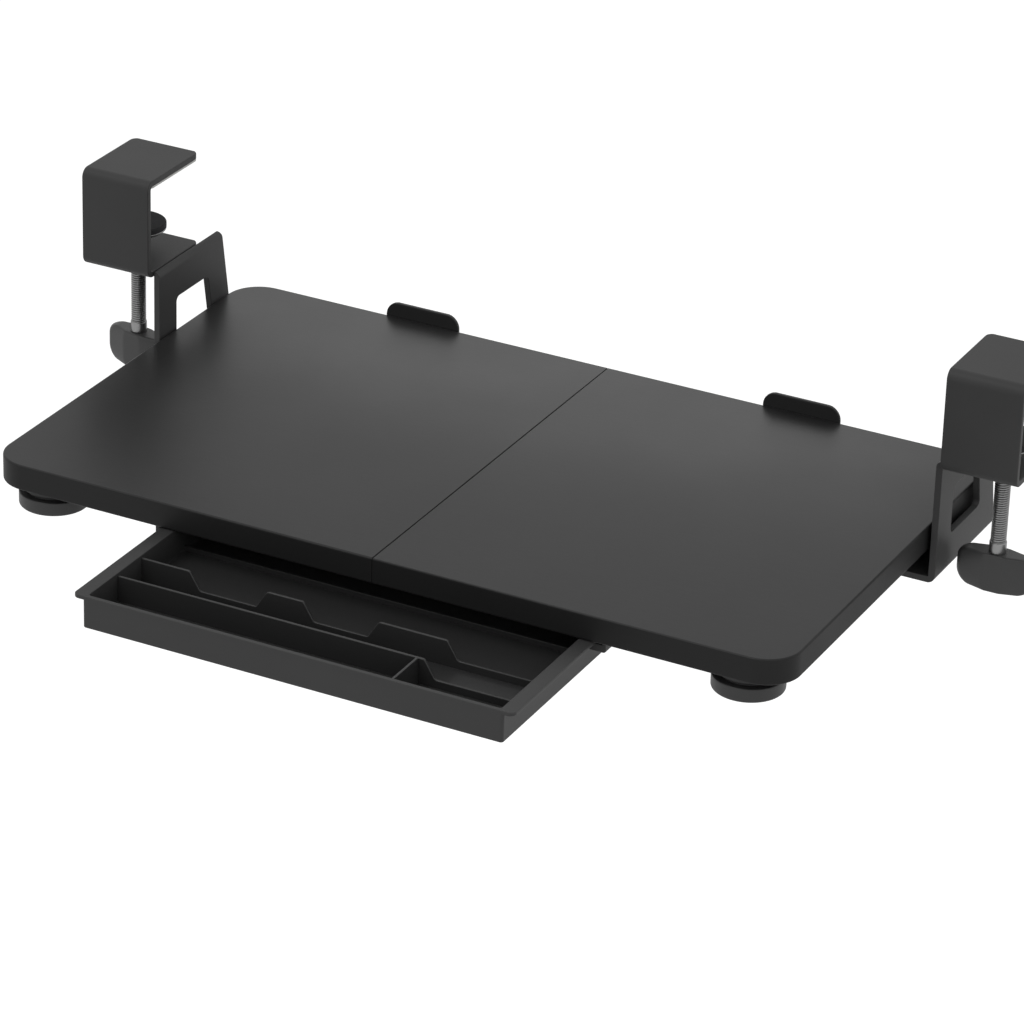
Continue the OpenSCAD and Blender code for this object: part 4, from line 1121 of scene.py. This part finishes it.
# %% Joining plates
JOINING_CORNER = 4 * MM
for end in ("front", "rear"):
    node = f"joining_plate_{end}"
    lo, hi = span(node)
    plate = Shells().slab(box_corners(lo[:2], hi[:2], JOINING_CORNER), lo[2], hi[2], 0.2 * MM)
    plate.piece(node, "steel", ZINC, "tray", "zinc_steel")

# %% Sizes that the drawer and its runners share
WALL, FLOOR = 2.2 * MM, 2.0 * MM
RIM_W, RIM_T = 5.5 * MM, 2.0 * MM
LUG_W, LUG_L = 2.7 * MM, 4.0 * MM
SHY = 0.05 * MM
drawer_low, drawer_high = span("drawer")
RIM_X = drawer_high[0] - LUG_W
BODY_X = RIM_X - RIM_W
print("the drawer's body is", round(2 * BODY_X / MM, 1), "mm wide")

# %% Drawer runners
SCREW_FLANGE_W, RUNNER_T, LIP_T = 10 * MM, 2 * MM, 4.1 * MM
PULL_OUT, LUG_PLAY = 36 * MM, 0.3 * MM
BUMP_L, BUMP_PLAY = 3 * MM, 0.8 * MM
BLOCK_IN_WALL = 1.4 * MM


def runner(side, sign):
    """Screw flange, wall and lip in one section, with a bump and a rear end wall."""
    node = f"runner_{side}"
    lo, hi = span(node)
    inner, outer = (lo[0], hi[0]) if sign > 0 else (-hi[0], -lo[0])
    wall_out = outer - SCREW_FLANGE_W
    wall_in = wall_out - RUNNER_T
    lip_low, top = lo[2], hi[2]
    lip_top = lip_low + LIP_T
    section = [(wall_in, top, 0), (wall_in, lip_top, 0.5 * MM), (inner, lip_top, 0.9 * MM),
               (inner, lip_low, 1.2 * MM), (wall_out, lip_low, 1.6 * MM),
               (wall_out, top - RUNNER_T, 0.9 * MM), (outer, top - RUNNER_T, 0.6 * MM), (outer, top, 0)]
    shells = Shells()
    shells.slab([(sign * u, v, r) for u, v, r in section], lo[1], hi[1], 0.4 * MM, "y")
    bump_back = drawer_high[1] - LUG_L - PULL_OUT - LUG_PLAY
    bump = (RIM_X + BUMP_PLAY, bump_back - BUMP_L, bump_back)
    end_wall = (inner + 2 * SHY, hi[1] - RUNNER_T, hi[1] - 2 * SHY)
    for inside, front, back in (bump, end_wall):
        x0, x1 = sorted((sign * inside, sign * (wall_in + BLOCK_IN_WALL)))
        shells.slab(box_corners((x0, front), (x1, back), 0.4 * MM), lip_top - MM, top - SHY, 0.3 * MM)
    shells.piece(node, "moulding", DRAWER_PLASTIC, "tray", "drawer_plastic")


for side, sign in SIDES.items():
    runner(side, sign)

# %% [markdown]
# ## Drawer
# The drawer is one thin moulding. Its shell is a rounded rectangle carried along the wall's
# section: up the outside, out to the side rims, over the top, down the inside and across the
# floor, with a small round at each turn. The dividers are thin slabs with scooped tops that
# stand in the floor, so that fingers can reach what lies in the compartments.

# %% Drawer shell
DRAWER_CORNER, RIM_CORNER, RIM_ROUND = 1.5 * MM, 3 * MM, 0.5 * MM
UNDERSIDE_INSET, FLOOR_INSET = 6 * MM, 7 * MM
LEDGE = 0.12 * MM


def tray_ring(half_x, front, back, corner, level, steps=8):
    """Rounded rectangle at a level; every ring has the same number of points."""
    outline = arc_outline(box_corners((-half_x, front), (half_x, back), corner), steps)
    return np.column_stack([outline, np.full(len(outline), level)])


def towards(start, end, distance):
    """The point at a distance from the start on the line to the end."""
    return start + (end - start) / np.linalg.norm(end - start) * distance


def round_turn(start, corner, end, radius, steps=4):
    """Quarter round between two straight runs of (inset, level), by a quadratic curve."""
    a, b = towards(corner, start, radius), towards(corner, end, radius)
    t = np.linspace(0, 1, steps + 1)[:, None]
    return (1 - t) ** 2 * a + 2 * t * (1 - t) * corner + t ** 2 * b


def drawer_shell(shells):
    """Section points (inset from the body's outer face, level), from the underside to the floor."""
    bottom, top = drawer_low[2], drawer_high[2]
    rim_low, inner = top - RIM_T, bottom + FLOOR
    path = np.array([(UNDERSIDE_INSET, bottom), (0, bottom), (0, rim_low), (-RIM_W, rim_low),
                     (-RIM_W, top), (WALL, top), (WALL, inner), (FLOOR_INSET, inner)])
    rounds = [0, 0.6 * MM, 0.3 * MM, 0.4 * MM, RIM_ROUND, RIM_ROUND, 1.2 * MM, 0]
    rows = [path[0]]
    for k in range(1, len(path) - 1):
        rows += list(round_turn(*path[k - 1:k + 2], rounds[k]))
        rows.append(towards(path[k], path[k + 1], rounds[k] + HOLD))
    rows.append(path[-1])
    rings, wear = [], []
    for into, level in rows:
        rim, deep = max(-into, 0), max(into, 0)
        share = min(rim / RIM_W, 1)
        ledge = LEDGE * (1 - share)
        corner = DRAWER_CORNER + (RIM_CORNER - DRAWER_CORNER) * share
        rings.append(tray_ring(BODY_X + rim - deep, drawer_low[1] + deep + ledge,
                               drawer_high[1] - deep - ledge, corner, level))
        wear.append(1.0 if level > top - RIM_ROUND and -RIM_W < into < -RIM_W + RIM_ROUND else 0.0)
    # inside is 1 on the inner walls and floor, where the moulding paints shade with a darker colour
    inside = np.array([into >= WALL and level < top - MM for into, level in rows], float)
    shells.loft(np.array(rings), wear=np.array(wear), inside=inside)


drawer = Shells()
drawer_shell(drawer)
print("drawer shell:", drawer.count, "points")

# %% Dividers, rib and lugs
DIVIDER_T, DIVIDER_DROP, DIVIDER_SUNK = 1.5 * MM, 1.5 * MM, 0.8 * MM
SCOOP_RUN, SCOOP_ROUND, SCOOP_H = 6 * MM, 2 * MM, 4.2 * MM
FRONT_DIVIDER, REAR_DIVIDER, CROSS_DIVIDER = 29.3 * MM, 51.5 * MM, 167.2 * MM
RIB_PLACE, RIB_H = 92 * MM, 3 * MM
INTO_WALL = 1.2 * MM
LUG_ROOT = 1.5 * MM
front_y, rear_y = drawer_low[1], drawer_high[1]
floor_top = drawer_low[2] + FLOOR
divider_top = drawer_high[2] - DIVIDER_DROP
scoop_top = floor_top + SCOOP_H
sunk = floor_top - DIVIDER_SUNK
inside_left, inside_right = -BODY_X + INTO_WALL, BODY_X - INTO_WALL


def divider(tops, behind_front):
    """A thin upright slab along X. tops: (x, level, radius) from right to left."""
    y = front_y + behind_front
    corners = [(inside_left, sunk, 0), (inside_right, sunk, 0), *tops]
    # inside=1.0 paints shade on the divider with a darker colour
    drawer.slab(corners, y - DIVIDER_T / 2, y + DIVIDER_T / 2, 0.4 * MM, "y", inside=1.0)


def scooped(spans):
    """A top edge that is high over the spans (from, to), in mm from the left, and low elsewhere."""
    corners = [(inside_right, scoop_top, 0)]
    for start, end in sorted(spans, reverse=True):
        x0, x1 = -BODY_X + start * MM, -BODY_X + end * MM
        corners += [(x1 + SCOOP_RUN, scoop_top, SCOOP_ROUND), (x1, divider_top, SCOOP_ROUND)]
        if start > 0:
            corners += [(x0, divider_top, SCOOP_ROUND), (x0 - SCOOP_RUN, scoop_top, SCOOP_ROUND)]
    return corners + [(inside_left, divider_top, 0)]


divider(scooped([(0, 171)]), FRONT_DIVIDER)
divider(scooped([(0, 29.5), (73, 93), (134.5, 171.5)]), REAR_DIVIDER)
divider([(inside_right, floor_top + RIB_H, 0), (inside_left, floor_top + RIB_H, 0)], RIB_PLACE)
cross_x = -BODY_X + CROSS_DIVIDER
corners = box_corners((front_y + INTO_WALL, sunk), (front_y + FRONT_DIVIDER, divider_top - SHY), 0)
# inside=1.0 paints shade on the cross divider with a darker colour
drawer.slab(corners, cross_x - DIVIDER_T / 2, cross_x + DIVIDER_T / 2, 0.4 * MM, "x", inside=1.0)
for sign in SIDES.values():
    x0, x1 = sorted((sign * (RIM_X - LUG_ROOT), sign * drawer_high[0]))
    corners = box_corners((x0, rear_y - LUG_L), (x1, rear_y - 4 * SHY), 0.4 * MM)
    drawer.slab(corners, drawer_high[2] - RIM_T + SHY, drawer_high[2] - SHY, 0.3 * MM)
drawer.piece("drawer", "moulding", DRAWER_PLASTIC, "drawer", "drawer_plastic")

# %% [markdown]
# ## Pieces that keep their CAD shape
# The dowels are plain turned beech inside the board, so their CAD solids stay and only get
# their finish.

# %% Dowels and a last look
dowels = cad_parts["dowels"].data
dowels.materials.clear()
dowels.materials.append(BEECH)
shown = [name for name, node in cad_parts.items() if not node.hide_render]
print("CAD nodes still shown:", shown)

# %% Compare the boxes
VISUAL_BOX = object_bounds()
for corner, cad, visual in zip(("low", "high"), CAD_BOX, VISUAL_BOX):
    print(corner, [round(v, 5) for v in cad], [round(v, 5) for v in visual])
